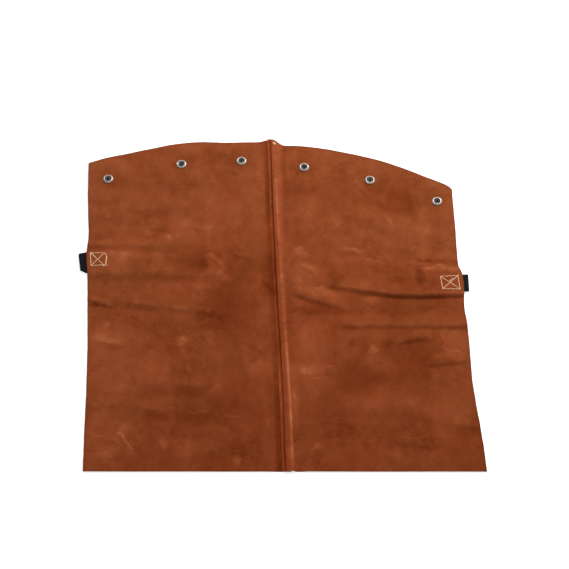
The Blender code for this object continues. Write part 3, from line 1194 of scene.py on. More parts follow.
@dataclass(frozen=True)
class WebbingFinish:
    """Black woven webbing, ribbed across, on its own along and across attributes."""

    name: str = "black_webbing"
    dark: tuple = shown(8, 6, 9)
    pale: tuple = shown(27, 24, 31)
    rib: float = 1.9
    rib_depth: float = 0.3
    yarn: float = 1.3
    yarn_depth: float = 0.2

    def material(self) -> bpy.types.Material:
        """Builds the finish and returns its material."""
        shader = Shader(self.name)
        ribs = (shader.attribute("along") * (2.0 * math.pi / self.rib)).sine()
        yarns = (shader.attribute("across") * (math.pi / self.yarn)).sine().magnitude()
        fuzz = shader.noise(700.0, 3.0)
        weave = 0.5 + self.rib_depth * ribs + self.yarn_depth * yarns
        color = shader.ramp(0.8 * weave + fuzz, ((0.1, self.dark), (0.95, self.pale)))
        return shader.surface(
            {
                "Base Color": color,
                "Roughness": 0.85 + 0.3 * fuzz,
                "Specular IOR Level": 0.12,
                "Normal": shader.bump(weave + 0.4 * fuzz, 0.35, 0.8),
            }
        )


@dataclass(frozen=True)
class PlateFinish:
    """Bright plated steel with fine turning marks and a little dirt, painted dark as shade in the socket's
    recess.
    """

    name: str = "plated_snap"
    clean: tuple = shown(202, 187, 179)
    stained: tuple = shown(156, 142, 134)
    recess_shade: tuple = shown(48, 46, 52)
    metal: float = 0.55
    dulled: float = 0.35
    stain_depth: float = 1.2
    recess_depth: float = 0.75

    def material(self) -> bpy.types.Material:
        """Builds the finish and returns its material."""
        shader = Shader(self.name)
        stain = shader.noise(300.0, 4.0)
        # The recess, its eyelet and the wires are painted dark as shade, on duller metal.
        recess = shader.attribute("recess")
        level = 0.3 + self.stain_depth * stain + self.recess_depth * recess
        color = shader.ramp(level, ((0.1, self.clean), (0.55, self.stained), (0.95, self.recess_shade)))
        return shader.surface(
            {
                "Base Color": color,
                "Metallic": self.metal - self.dulled * recess,
                "Roughness": 0.36 + 0.5 * stain + 0.25 * recess,
                "Normal": shader.bump(shader.noise(2500.0, 2.0), 0.05, 0.3),
            }
        )


@dataclass(frozen=True)
class ThreadFinish:
    """Pale twisted sewing thread."""

    name: str = "pale_thread"
    dark: tuple = shown(190, 132, 94)
    pale: tuple = shown(240, 198, 158)

    def material(self) -> bpy.types.Material:
        """Builds the finish and returns its material."""
        shader = Shader(self.name)
        twist = shader.noise(1500.0, 3.0)
        color = shader.ramp(0.6 + 1.4 * twist, ((0.1, self.dark), (0.8, self.pale)))
        return shader.surface(
            {
                "Base Color": color,
                "Roughness": 0.7 + 0.3 * twist,
                "Normal": shader.bump(twist, 0.15, 0.6),
            }
        )


@dataclass(frozen=True)
class FloorFinish:
    """A plain white sweep, bright enough to show as plain white."""

    name: str = "white_floor"
    level: float = 0.8
    glow: float = 0.62

    def material(self) -> bpy.types.Material:
        """Builds the finish and returns its material."""
        return Shader(self.name).surface(
            {
                "Base Color": (self.level,) * 3 + (1.0,),
                "Roughness": 1.0,
                "Specular IOR Level": 0.0,
                "Emission Color": (1.0, 1.0, 1.0, 1.0),
                "Emission Strength": self.glow,
            }
        )


@dataclass
class Finishes:
    """Every material of the apron, each built once."""

    left_leather: bpy.types.Material = field(default_factory=lambda: SuedeFinish().material())
    right_leather: bpy.types.Material = field(
        default_factory=lambda: SuedeFinish("brown_split_leather_right", 31.0).material()
    )
    cut_edge: bpy.types.Material = field(default_factory=lambda: CutEdgeFinish().material())
    # The welt's cut edge is paler than the panels', partly as painted light against the shade at the welt's
    # left edge.
    welt_edge: bpy.types.Material = field(
        default_factory=lambda: CutEdgeFinish(
            "welt_edge_fibre", shown(134, 70, 38), shown(176, 112, 74)
        ).material()
    )
    webbing: bpy.types.Material = field(default_factory=lambda: WebbingFinish().material())
    plate: bpy.types.Material = field(default_factory=lambda: PlateFinish().material())
    thread: bpy.types.Material = field(default_factory=lambda: ThreadFinish().material())


def dress(piece: bpy.types.Object, slot: str, *materials: bpy.types.Material) -> bpy.types.Object:
    """Gives a piece its materials and its body.

    Args:
        piece: The new piece.
        slot: The record's material slot. It is not used.
        *materials: Its materials, the main one first.

    Returns:
        The same piece.
    """
    for material in materials:
        piece.data.materials.append(material)
    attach(piece, BODY)
    return piece


def relief(heights: Array, step: int = 3) -> Array:
    """Works out how far each point of a height grid stands over its neighbours.

    Args:
        heights: The heights, rows by columns.
        step: How many points away the neighbours are.

    Returns:
        The differences, rows by columns.
    """
    padded = np.pad(heights, step, mode="edge")
    rows, columns = heights.shape
    up = padded[2 * step : 2 * step + rows, step : step + columns]
    down = padded[0:rows, step : step + columns]
    left = padded[step : step + rows, 0:columns]
    right = padded[step : step + rows, 2 * step : 2 * step + columns]
    return heights - (up + down + left + right) / 4.0


@dataclass
class LeatherPanel:
    """One leather half of the apron.

    The subclasses say where its columns stand on a row, and how its seam edge is made.
    """

    name: str
    node: str
    material: bpy.types.Material
    cut_edge: bpy.types.Material
    top: Curve
    flat: Pair
    area: float
    columns: int
    rows_below: int = 66
    rows_middle: int = 128
    rows_above: int = 62
    middle_low: float = -110.0
    middle_high: float = 120.0
    edge: float = 0.3
    upward_tone: float = 0.0008
    hollow_shade_and_crest_wear: float = 0.7
    edge_shade: float = -0.7
    edge_reach: float = 1.6
    snap_shade: float = -0.4
    snap_shade_reach: float = 15.0

    def places(self, y: Array) -> Array:
        """Returns the columns' places across the apron on each row."""
        raise NotImplementedError

    def seam_heights(self, heights: Array) -> Array:
        """Returns the heights with the seam edge shaped."""
        return heights

    def seam_tone(self, off_seam: Array, y: Array) -> Array:
        """Returns the wear, the painted highlight and the painted shade along the seam."""
        raise NotImplementedError

    def painted_bounce(self, off_seam: Array) -> Array:
        """Returns how much painted light each place gets in the seam's creases, from 0 to 1."""
        raise NotImplementedError

    def from_side(self, x: Array) -> Array:
        """Returns how far each place is from the apron's side edge."""
        raise NotImplementedError

    def shares(self) -> Array:
        """Returns each row's share of the way from the hem to the top edge."""
        top_y = float(self.top.at(np.array(self.top.stations[len(self.top.stations) // 2][0])))
        below = np.linspace(PLAN.hem_y, self.middle_low, self.rows_below, endpoint=False)
        middle = np.linspace(self.middle_low, self.middle_high, self.rows_middle, endpoint=False)
        above = np.linspace(self.middle_high, top_y, self.rows_above)
        return (np.concatenate((below, middle, above)) - PLAN.hem_y) / (top_y - PLAN.hem_y)

    def grid(self) -> tuple[Array, Array]:
        """Works out where the grid's points stand, seen from above.

        Returns:
            The places across and up the apron, each rows by columns.
        """
        shares = self.shares()[:, None] * np.ones((1, self.columns))
        y = PLAN.hem_y + shares * (-2.0 * PLAN.hem_y)
        for _ in range(8):
            x = self.places(y)
            top = self.top.at(x) + PLAN.hand_cut(x)
            y = PLAN.hem_y + shares * (top - PLAN.hem_y)
        return x, y

    def tone(self, x: Array, y: Array, heights: Array) -> Array:
        """Works out how worn or how dark the leather is, with painted shade in the folds' hollows and
        beside the seam, and painted highlight on the ridge.

        Args:
            x: Places across the apron.
            y: Places up the apron.
            heights: The leather's height at each place.

        Returns:
            The tone, 0 for plain leather and 1 for a bare worn spot; painted shade and highlight are in it
            too.
        """
        # The hollows of the folds get painted shade, with some dirt, and their crests are lighter with
        # wear.
        tone = self.upward_tone * y + self.hollow_shade_and_crest_wear * np.clip(relief(heights), -1.0, 1.0)
        moved_x, moved_y = PLAN.wander(x, y)
        for mark in MARKS + STREAKS:
            tone = tone + mark.tone_at(moved_x, moved_y)
        for snap_x, snap_y in SNAP_PLACES:
            away = np.hypot(x - snap_x, y - snap_y)
            tone = tone + self.snap_shade * bell(away, self.snap_shade_reach)
        from_edge = np.minimum(y[-1:, :] - y, self.from_side(x))
        tone = tone + self.edge_shade * bell(from_edge, self.edge_reach)
        return tone + self.seam_tone(x - PLAN.seam.at(y), y)

    def build(self) -> bpy.types.Object:
        """Builds and dresses the panel.

        Returns:
            The panel's object.
        """
        x, y = self.grid()
        heights = self.seam_heights(PLAN.lift(x, y))
        points = np.stack((x, y, heights), axis=-1)
        low, high = float(x.min()), float(x.max())
        holes = tuple(place for place in SNAP_PLACES if low < place[0] < high)
        values = {"tone": self.tone(x, y, heights), "painted_bounce": self.painted_bounce(x - PLAN.seam.at(y))}
        piece = grid_piece(self.name, points, values, holes)
        dress(piece, "brown_split_leather", self.material, self.cut_edge)
        add_wall(piece, LEATHER, self.edge)
        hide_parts(self.node)
        return piece


@dataclass
class LeftPanel(LeatherPanel):
    """The left half, whose seam allowance lies flat under the right half."""

    near_columns: int = 24
    near_width: float = 26.0
    # Painted shade beside the ridge: how far from the welt its band reaches, and its soft edge.
    shade_band_reach: Curve = Curve(((-322.6, 14.5), (322.6, 11.5)))
    shade_band_blend: float = 8.0
    crease_place: float = -6.6
    crease_width: float = 1.5
    # How dark the painted shade beside the ridge is, up the seam.
    seam_darkening: Curve = Curve(
        (
            (-311.0, 1.1),
            (-267.0, 0.85),
            (-214.0, 1.0),
            (-161.0, 0.75),
            (-104.0, 0.7),
            (-48.0, 0.45),
            (11.0, 0.7),
            (77.0, 0.75),
            (136.0, 0.7),
            (195.0, 1.35),
            (258.0, 1.1),
            (300.0, 0.8),
        )
    )

    def places(self, y: Array) -> Array:
        """Sets out the columns, closer together near the seam.

        Args:
            y: Places up the apron, rows by columns.

        Returns:
            The places across the apron, rows by columns.
        """
        side = PLAN.left_side.at(y) + PLAN.hand_cut(y)
        end = PLAN.seam.at(y) + ALLOWANCE
        even = np.linspace(0.0, 1.0, self.columns - self.near_columns, endpoint=False)
        near = np.linspace(0.0, 1.0, self.near_columns)
        bend = end - self.near_width
        split = self.columns - self.near_columns
        x = np.empty(y.shape)
        x[:, :split] = side[:, :split] + (bend - side)[:, :split] * even
        x[:, split:] = bend[:, split:] + self.near_width * near
        return x

    def seam_tone(self, off_seam: Array, y: Array) -> Array:
        """Returns painted shade beside the seam's ridge, in a band that is wider towards the hem."""
        from_band = off_seam + WELT_SHOWS + self.shade_band_reach.at(y)
        return -ease(from_band / self.shade_band_blend) * self.seam_darkening.at(y)

    def painted_bounce(self, off_seam: Array) -> Array:
        """Returns how much painted light the crease beside the welt gets at each place, from 0 to 1."""
        return bell(off_seam - self.crease_place, self.crease_width)

    def from_side(self, x: Array) -> Array:
        """Returns how far each place is from the apron's side edge."""
        return x - x[:, :1]


@dataclass
class RightPanel(LeatherPanel):
    """The right half, turned under along the seam so that it makes the raised ridge."""

    fold_radius: float = GAP / 2.0
    fold_steps: int = 8
    shoulder: float = 8.6
    crest: Curve = Curve(((-322.6, 10.6), (322.6, 5.0)))
    highlight_width: Curve = Curve(((0.0, 1.6), (322.6, 2.2)))
    highlight_plain: float = 0.85
    highlight_waves: tuple = ((0.15, 23.0, 0.0), (0.1, 9.1, 1.0))
    flank_tone: float = 0.3
    flank_top: float = -200.0
    flank_fade: float = 60.0
    flank_reach: float = 12.0
    flank_blend: float = 4.0
    beside_place: float = 17.0
    beside_width: float = 6.0
    crease_blend: float = 0.4
    # Strength of the painted highlight on the ridge's crest, which is partly wear, up the seam.
    highlight_and_wear: Curve = Curve(
        (
            (-311.0, 0.8),
            (-214.0, 1.15),
            (-161.0, 1.2),
            (-104.0, 0.85),
            (-48.0, 0.85),
            (11.0, 0.45),
            (77.0, 0.85),
            (195.0, 0.8),
            (258.0, 0.45),
            (300.0, 0.2),
        )
    )
    beside: Curve = Curve(
        (
            (-322.0, 0.25),
            (-260.0, 0.2),
            (-214.0, 0.75),
            (-161.0, 0.5),
            (-104.0, 0.05),
            (11.0, -0.1),
            (77.0, 0.4),
            (136.0, 0.1),
            (322.0, 0.1),
        )
    )
    widening: Curve = Curve(((-322.6, 1.0), (60.0, 1.0), (160.0, 1.5), (322.6, 2.1)))
    drooping: tuple[Pair, ...] = ((10.95, 1.9), (10.65, 2.7), (10.1, 3.6), (9.2, 4.3))
    ridge: tuple[Pair, ...] = (
        (1.9, 4.92),
        (3.0, 5.02),
        (4.5, 5.1),
        (6.0, 5.06),
        (7.4, 4.92),
        (8.6, 4.66),
        (9.7, 4.2),
        (10.7, 3.5),
        (11.6, 2.65),
        (12.5, 1.8),
        (13.4, 1.05),
        (14.4, 0.5),
        (15.6, 0.16),
        (17.0, 0.03),
        (18.6, 0.0),
    )

    def section(self) -> list[Pair]:
        """Returns the seam edge's section: how far off the seam, and how high."""
        centre = self.fold_radius + LEATHER
        points = [*self.drooping, (ALLOWANCE, FOLD_LOW), (5.0, FOLD_LOW), (2.4, FOLD_LOW)]
        for step in range(self.fold_steps + 1):
            turn = math.pi * step / self.fold_steps
            off_seam = centre - self.fold_radius * math.sin(turn)
            points.append((off_seam, FOLD_LOW + self.fold_radius * (1.0 - math.cos(turn))))
        return points + list(self.ridge)

    def places(self, y: Array) -> Array:
        """Sets out the columns: first the turned edge and the ridge, then even ones.

        Args:
            y: Places up the apron, rows by columns.

        Returns:
            The places across the apron, rows by columns.
        """
        section = self.section()
        side = PLAN.right_side.at(y) + PLAN.hand_cut(y + 90.0)
        seam = PLAN.seam.at(y)
        x = np.empty(y.shape)
        widening = self.widening.at(y)
        for column, (off_seam, _) in enumerate(section):
            past = off_seam - self.shoulder if column >= len(section) - len(self.ridge) else 0.0
            stretch = (widening[:, column] - 1.0) * max(past, 0.0)
            x[:, column] = seam[:, column] + off_seam + stretch
        rest = np.arange(1, self.columns - len(section) + 1) / (self.columns - len(section))
        last = section[-1][0] + (widening[:, len(section) :] - 1.0) * (section[-1][0] - self.shoulder)
        start = seam[:, len(section) :] + last
        x[:, len(section) :] = start + (side[:, len(section) :] - start) * rest[None, :]
        return x

    def seam_heights(self, heights: Array) -> Array:
        """Puts in the turned edge and the ridge.

        Args:
            heights: The leather's heights without them, rows by columns.

        Returns:
            The heights with them.
        """
        shaped = heights.copy()
        for column, (off_seam, height) in enumerate(self.section()):
            folds = heights[:, column] if off_seam > self.shoulder + 4.0 else 0.0
            shaped[:, column] = height + folds
        return shaped

    def seam_tone(self, off_seam: Array, y: Array) -> Array:
        """Works out the painted highlight and the wear on the ridge, and the tone beside it.

        Args:
            off_seam: How far right of the seam each place is.
            y: Places up the apron.

        Returns:
            The tone, 1 for a bare spot or a bright painted highlight.
        """
        uneven = self.highlight_plain + ripple(y, self.highlight_waves)
        # Painted highlight on the ridge's right shoulder, partly wear.
        lit_and_worn = self.highlight_and_wear.at(y) * uneven * bell(off_seam - self.crest.at(y), self.highlight_width.at(y))
        flank = self.flank_tone * ease((self.flank_top - y) / self.flank_fade)
        flank = flank * ease((self.flank_reach - off_seam) / self.flank_blend)
        beside = self.beside.at(y) * bell(off_seam - self.beside_place, self.beside_width)
        return lit_and_worn + flank + beside

    def painted_bounce(self, off_seam: Array) -> Array:
        """Returns how much painted light the crease over the welt gets at each place, from 0 to 1."""
        return ease((self.fold_radius + LEATHER + 0.5 - off_seam) / self.crease_blend)

    def from_side(self, x: Array) -> Array:
        """Returns how far each place is from the apron's side edge."""
        return x[:, -1:] - x


@dataclass
class SeamWelt:
    """The strip of leather that is sewn into the centre seam with its cut edge showing."""

    material: bpy.types.Material
    cut_edge: bpy.types.Material
    flat: Pair = (0.01505, 0.646)
    plain_tone: float = 0.4
    uneven_tone: float = 0.2
    upward_tone: float = 0.00033
    crease_shade: float = 0.42
    crease_place: float = -3.6
    crease_blend: float = 2.4
    # How much darker the welt is, up the seam.
    seam_darkening: Curve = Curve(
        (
            (-311.0, 0.35),
            (-267.0, 0.4),
            (-214.0, 0.0),
            (-161.0, 0.0),
            (-104.0, 0.7),
            (-48.0, 0.5),
            (11.0, 0.8),
            (77.0, 0.75),
            (136.0, 0.65),
            (195.0, 0.4),
            (258.0, 0.3),
            (300.0, 0.05),
        )
    )
    top: Curve = Curve(((-16.5, 324.2), (-14.0, 325.0), (-12.0, 325.2), (-9.0, 324.4), (-2.0, 318.6)))
    rows: int = 200
    edges: tuple[float, ...] = (-6.2, -5.6, -4.8, -3.8, -2.8, -1.6, -0.6, 1.0, 3.0, 5.5, ALLOWANCE)
    droop: tuple[float, ...] = (0.27, 0.25, 0.2, 0.13, 0.06, 0.02, 0.0, 0.0, 0.0, 0.0, 0.0)

    def build(self) -> bpy.types.Object:
        """Builds and dresses the welt.

        Returns:
            The welt's object.
        """
        top = self.top.at(float(PLAN.seam.at(np.array(-PLAN.hem_y))) + np.array(self.edges))
        y = PLAN.hem_y + np.linspace(0.0, 1.0, self.rows)[:, None] * (top - PLAN.hem_y)[None, :]
        x = PLAN.seam.at(y) + np.array(self.edges)[None, :]
        x[:, 0] += 0.6 * PLAN.hand_cut(2.0 * y[:, 0])
        points = np.stack((x, y, WELT_REST - np.array(self.droop)[None, :] * np.ones(y.shape)), axis=-1)
        tone = self.plain_tone + self.uneven_tone * np.sin(y / 13.0) * np.sin(y / 31.0)
        tone = tone + self.upward_tone * y - self.seam_darkening.at(y)
        off_seam = np.array(self.edges)[None, :]
        tone = tone - self.crease_shade * ease((off_seam - self.crease_place) / self.crease_blend)
        # Painted light in the crease under the ridge's fold and on the welt's left edge.
        painted_bounce = np.broadcast_to(ease((off_seam + 3.0) / 1.6) + 0.5 * ease(-5.0 - off_seam), y.shape)
        piece = grid_piece("seam_welt_strip", points, {"tone": tone, "painted_bounce": painted_bounce})
        dress(piece, "welt_leather", self.material, self.cut_edge)
        add_wall(piece, WELT, 0.5)
        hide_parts("seam_welt")
        return piece


@dataclass
class SnapSocket:
    """One snap: a turned socket with its spring wires, its post and its back flange."""

    number: int
    place: Pair
    turn: float
    material: bpy.types.Material
    radius: float = 8.9
    crown: float = 2.4
    flange_radius: float = 7.5
    flange: float = 1.0
    post_radius: float = 3.0
    steps: int = 56
    recess_radius: float = 5.1
    eyelet_inside: float = 2.3
    eyelet_outside: float = 3.0
    wire_radius: float = 0.35
    wire_offset: float = 2.9
    wire_length: float = 8.6
    wire_shade: float = 0.65

    def profile(self) -> list[Pair]:
        """Returns the half profile, from the middle of the top down its outer side."""
        floor = SNAP_BASE + 0.3
        top = SNAP_BASE + self.crown
        return [
            (0.0, self.flange + 0.4),
            (2.05, self.flange + 0.4),
            (2.2, self.flange + 0.7),
            (2.25, floor),
            (2.35, floor + 0.3),
            (2.6, floor + 0.42),
            (2.9, floor + 0.3),
            (3.1, floor),
            (4.7, floor),
            (5.05, floor + 0.15),
            (5.25, floor + 0.6),
            (5.4, top - 0.7),
            (5.7, top - 0.25),
            (6.1, top - 0.03),
            (6.6, top),
            (7.0, top - 0.14),
            (7.5, top - 0.42),
            (8.0, top - 0.8),
            (8.45, top - 1.22),
            (8.78, top - 1.62),
            (self.radius, SNAP_BASE + 0.5),
            (self.radius, SNAP_BASE + 0.2),
            (self.radius - 0.4, SNAP_BASE),
            (self.post_radius, SNAP_BASE),
            (self.post_radius, self.flange),
            (self.flange_radius - 0.2, self.flange),
            (self.flange_radius, self.flange - 0.25),
            (self.flange_radius, 0.25),
            (self.flange_radius - 0.2, 0.0),
            (0.0, 0.0),
        ]

    def build(self) -> bpy.types.Object:
        """Builds and dresses the snap.

        Returns:
            The snap's object.
        """
        shape = bmesh.new()
        layer = shape.verts.layers.float.new("recess")
        profile = self.profile()
        points = [shape.verts.new((radius * MM, 0.0, height * MM)) for radius, height in profile]
        # The recess, the eyelet and the wires get painted shade.
        for point, (radius, height) in zip(points, profile):
            if radius < self.recess_radius and height > self.flange:
                point[layer] = 0.75 if self.eyelet_inside < radius < self.eyelet_outside else 1.0
        edges = [shape.edges.new(pair) for pair in zip(points, points[1:])]
        bmesh.ops.spin(
            shape,
            geom=points + edges,
            cent=(0.0, 0.0, 0.0),
            axis=(0.0, 0.0, 1.0),
            dvec=(0.0, 0.0, 0.0),
            angle=2.0 * math.pi,
            steps=self.steps,
            use_merge=True,
            use_duplicate=False,
        )
        bmesh.ops.remove_doubles(shape, verts=shape.verts, dist=0.005 * MM)
        bmesh.ops.recalc_face_normals(shape, faces=shape.faces)
        for side in (-1, 1):
            self.add_wire(shape, side)
        place = Matrix.Translation((self.place[0] * MM, self.place[1] * MM, 0.0))
        turned = place @ Matrix.Rotation(math.radians(self.turn), 4, "Z")
        bmesh.ops.transform(shape, matrix=turned, verts=shape.verts)
        piece = finish_mesh(f"snap_socket_{self.number}", shape)
        dress(piece, "plated_snap", self.material)
        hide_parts(f"snap_{self.number}")
        return piece

    def add_wire(self, shape: bmesh.types.BMesh, side: int) -> None:
        """Adds one spring wire across the socket.

        Args:
            shape: The socket's mesh, with its middle at the origin.
            side: -1 or 1, the side of the middle that the wire is on.
        """
        height = SNAP_BASE + 1.1
        lie = Matrix.Rotation(math.pi / 2.0, 4, "X")
        place = Matrix.Translation((side * self.wire_offset * MM, 0.0, height * MM))
        made = bmesh.ops.create_cone(
            shape,
            cap_ends=True,
            segments=10,
            radius1=self.wire_radius * MM,
            radius2=self.wire_radius * MM,
            depth=self.wire_length * MM,
            matrix=place @ lie,
        )
        layer = shape.verts.layers.float["recess"]
        for point in made["verts"]:
            point[layer] = self.wire_shade


@dataclass
class WaistStrap:
    """A webbing strap, sewn under a side edge and folded back under the leather."""

    name: str
    node: str
    side: int
    material: bpy.types.Material
    middle_y: float
    tip: float
    width: float
    bunch: float
    end_x: float
    end_y: float
    flat: Pair
    slant: float = 0.0
    sewn: float = 36.0
    bight: float = 1.0
    bight_steps: int = 12
    rows: int = 13
    low_columns: int = 60
    high_columns: int = 12

    def edge_x(self) -> float:
        """Returns the place of the leather's edge over the strap."""
        side = PLAN.right_side if self.side > 0 else PLAN.left_side
        return float(side.at(np.array(self.middle_y)))

    def section(self, out: float) -> list[Pair]:
        """Sets out the strap's stations along its length, the low layer first.

        Args:
            out: How far the tip stands out past the leather's edge.

        Returns:
            How far in from the tip each station is, and how high.
        """
        low = STRAP_REST + WEBBING
        length = abs(self.end_x - self.tip)
        centre = self.bight + WEBBING
        section = [(place, low) for place in np.linspace(length, out, self.low_columns)]
        for step in range(self.bight_steps + 1):
            turn = math.pi * step / self.bight_steps
            height = low + self.bight * (1.0 - math.cos(turn))
            section.append((centre - self.bight * math.sin(turn), height))
        upper = np.linspace(out, out + self.sewn, self.high_columns)
        return section + [(place, low + STRAP_GAP) for place in upper]

    def build(self) -> bpy.types.Object:
        """Builds and dresses the strap.

        Returns:
            The strap's object.
        """
        out = (self.tip - self.edge_x()) * self.side
        section = self.section(out)
        if self.side > 0:
            section.reverse()
        from_tip, height = np.array(section).T
        steps = np.hypot(np.diff(from_tip), np.diff(height))
        along = np.concatenate(([0.0], np.cumsum(steps)))
        lower = height < STRAP_REST + WEBBING + STRAP_GAP / 2.0
        drift = (self.end_y - self.middle_y) / abs(self.end_x - self.tip)
        middle = np.where(lower, self.middle_y + drift * from_tip, self.middle_y)
        width = self.width - self.bunch * ease(1.0 - from_tip / out)
        share = np.linspace(-0.5, 0.5, self.rows)[:, None]
        across = share * width[None, :]
        ones = np.ones((self.rows, 1))
        slanted = self.slant * share * ease(1.0 - from_tip / out)[None, :]
        x = ones * (self.tip - self.side * from_tip)[None, :] + slanted
        points = np.stack((x, middle[None, :] + across, ones * height[None, :]), axis=-1)
        values = {"along": ones * along[None, :], "across": across}
        piece = grid_piece(self.name, points, values)
        dress(piece, "black_webbing", self.material)
        add_wall(piece, WEBBING, 0.3)
        piece.modifiers["wall"].material_offset_rim = 0
        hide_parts(self.node)
        return piece


@dataclass
class Stitching:
    """Stitches laid on the leather along straight runs."""

    name: str
    material: bpy.types.Material
    runs: tuple[Run, ...]
    pitch: float = 4.0
    radius: float = 0.84
    cover: float = 0.92
    overlap: float = 1.12
    proud: float = 0.18
    ridge: float = 0.0
    uneven: float = 0.1

    def height(self, x: float, y: float) -> float:
        """Returns the height of the leather's face at a place."""
        return float(PLAN.lift(np.array([x]), np.array([y]))[0]) + LEATHER + self.ridge

    def add_run(self, shape: bmesh.types.BMesh, start: Pair, end: Pair) -> None:
        """Adds the stitches of one run.

        Args:
            shape: The mesh that they are added to.
            start: Where the run starts.
            end: Where the run ends.
        """
        length = math.dist(start, end)
        count = max(1, round(length / self.pitch))
        for number in range(count):
            ends = []
            for at_end in (-0.5, 0.5):
                share = (number + 0.5 + at_end * self.cover) / count
                stray = self.uneven * math.sin(2.4 * number + start[0] + 3.0 * share)
                x = start[0] + (end[0] - start[0]) * share + stray
                y = start[1] + (end[1] - start[1]) * share + stray
                ends.append(Vector((x, y, self.height(x, y) + self.proud)))
            middle, way = (ends[0] + ends[1]) / 2.0, ends[1] - ends[0]
            size = (self.radius * MM, self.radius * MM, self.overlap * way.length / 2.0 * MM)
            place = Matrix.Translation(middle * MM) @ way.to_track_quat("Z", "Y").to_matrix().to_4x4()
            matrix = place @ Matrix.Diagonal((*size, 1.0))
            bmesh.ops.create_uvsphere(shape, u_segments=10, v_segments=8, radius=1.0, matrix=matrix)

    def build(self) -> bpy.types.Object:
        """Builds and dresses the stitches.

        Returns:
            The stitches' object.
        """
        shape = bmesh.new()
        for start, end in self.runs:
            self.add_run(shape, start, end)
        piece = finish_mesh(self.name, shape)
        return dress(piece, "pale_thread", self.material)


@dataclass
class Studio:
    """A white floor, soft light from the back right, and the photograph's camera."""

    target: tuple[float, float, float] = (0.0145, 0.0241, 0.0)
    elevation: float = 56.0
    distance: float = 3.046
    lens: float = 117.68
    key_height: float = 38.0
    key_turn: float = 35.0
    key_distance: float = 2.6
    key_size: float = 1.3
    key_power: float = 66.0
    card_distance: float = 2.6
    card_size: float = 1.2
    card_power: float = 7.0
    fill: float = 0.42
    floor_size: float = 26.0

    def aimed(self, turn: float, height: float, distance: float) -> Matrix:
        """Places something round the target, facing it.

        Args:
            turn: Its bearing in degrees, from +Y towards +X.
            height: Its elevation in degrees.
            distance: How far away it is, in metres.

        Returns:
            The object's world matrix.
        """
        bearing, lift = math.radians(turn), math.radians(height)
        flat = math.cos(lift)
        way = Vector((flat * math.sin(bearing), flat * math.cos(bearing), math.sin(lift)))
        place = Vector(self.target) + way * distance
        return Matrix.Translation(place) @ way.to_track_quat("Z", "Y").to_matrix().to_4x4()

    def add_light(self, name: str, matrix: Matrix, size: float, power: float) -> None:
        """Adds a square soft light.

        Args:
            name: The light's name.
            matrix: Its world matrix.
            size: Its side in metres.
            power: Its power in watts.
        """
        light = bpy.data.lights.new(name, "AREA")
        light.shape = "SQUARE"
        light.size = size
        light.energy = power
        lamp = bpy.data.objects.new(name, light)
        lamp.matrix_world = matrix
        bpy.context.scene.collection.objects.link(lamp)

    def add_floor(self) -> None:
        """Adds the floor."""
        sheet = bmesh.new()
        bmesh.ops.create_grid(sheet, x_segments=4, y_segments=4, size=self.floor_size / 2.0)
        floor = finish_mesh("studio_floor", sheet)
        floor.data.materials.append(FloorFinish().material())

    def add_world(self) -> None:
        """Adds an even fill light from all sides."""
        world = bpy.data.worlds.new("studio_fill")
        world.use_nodes = True
        background = world.node_tree.nodes["Background"]
        background.inputs["Color"].default_value = (1.0, 1.0, 1.0, 1.0)
        background.inputs["Strength"].default_value = self.fill
        bpy.context.scene.world = world

    def add_camera(self) -> None:
        """Adds the camera, at the photograph's viewing angle."""
        camera = bpy.data.cameras.new("camera")
        camera.lens = self.lens
        camera.sensor_width = 36.0
        camera.clip_end = 50.0
        eye = bpy.data.objects.new("camera", camera)
        eye.matrix_world = self.aimed(180.0, self.elevation, self.distance)
        bpy.context.scene.collection.objects.link(eye)
        bpy.context.scene.camera = eye

    def build(self) -> None:
        """Adds everything that isn't part of the apron."""
        self.add_camera()
        self.add_floor()
        self.add_world()
        key = self.aimed(self.key_turn, self.key_height, self.key_distance)
        self.add_light("key", key, self.key_size, self.key_power)
        card = self.aimed(0.0, self.elevation, self.card_distance)
        self.add_light("card", card, self.card_size, self.card_power)
        bpy.context.scene.view_settings.view_transform = "Standard"


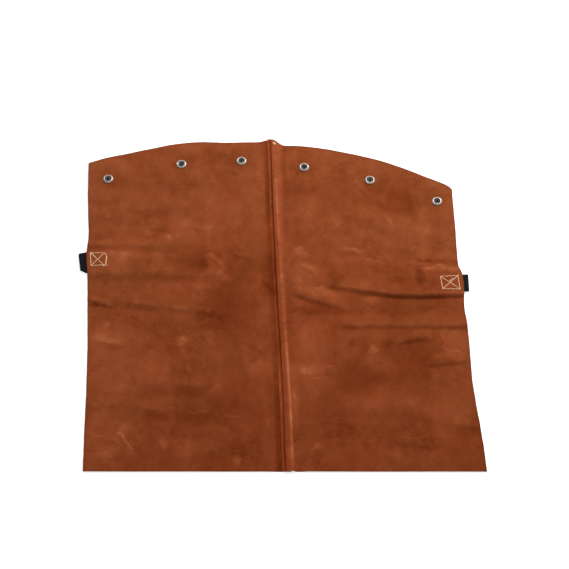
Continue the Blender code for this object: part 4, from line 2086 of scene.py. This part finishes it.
def main() -> None:
    """Builds every piece of the apron and the studio round it."""
    logging.basicConfig(level=logging.INFO, format="%(name)s: %(message)s")
    Studio().build()
    log.info("studio in place")
    finishes = Finishes()
    left_strap = WaistStrap(
        name="waist_strap_left",
        node="webbing_left",
        side=-1,
        material=finishes.webbing,
        middle_y=66.8,
        tip=-324.0,
        width=40.6,
        bunch=9.0,
        end_x=-118.0,
        end_y=60.0,
        flat=(0.0406, 0.26),
        slant=-5.1,
    )
    right_strap = WaistStrap(
        name="waist_strap_right",
        node="webbing_right",
        side=1,
        material=finishes.webbing,
        middle_y=25.5,
        tip=316.2,
        width=33.0,
        bunch=2.0,
        end_x=96.0,
        end_y=41.0,
        flat=(0.033, 0.274),
    )
    straps = []
    for strap in (left_strap, right_strap):
        piece = strap.build()
        straps.append(piece)
        log.info("%s in place", piece.name)
    left = LeftPanel(
        name="left_panel_leather",
        node="panel_left",
        material=finishes.left_leather,
        cut_edge=finishes.cut_edge,
        top=PLAN.left_top,
        flat=(0.346, 0.645),
        area=0.202,
        columns=146,
    )
    right = RightPanel(
        name="right_panel_leather",
        node="panel_right",
        material=finishes.right_leather,
        cut_edge=finishes.cut_edge,
        top=PLAN.right_top,
        flat=(0.352, 0.644),
        area=0.1933,
        columns=160,
    )
    for panel, strap_piece in ((left, straps[0]), (right, straps[1])):
        piece = panel.build()
        log.info("%s in place", piece.name)
    welt = SeamWelt(finishes.left_leather, finishes.welt_edge)
    strip = welt.build()
    log.info("%s in place", strip.name)
    for number, place in enumerate(SNAP_PLACES, start=1):
        turn = SNAP_TURN * math.sin(2.3 * number)
        snap = SnapSocket(number, place, turn, finishes.plate).build()
        log.info("%s in place", snap.name)
    box_left = Stitching("box_stitch_left", finishes.thread, LEFT_BOX).build()
    box_right = Stitching("box_stitch_right", finishes.thread, RIGHT_BOX).build()
    log.info("%s and %s in place", box_left.name, box_right.name)
    knot = Stitching("seam_thread_end", finishes.thread, SEAM_END, pitch=8.0, radius=1.25, ridge=5.1)
    seam_end = knot.build()
    log.info("%s in place", seam_end.name)


if __name__ == "__main__":
    main()
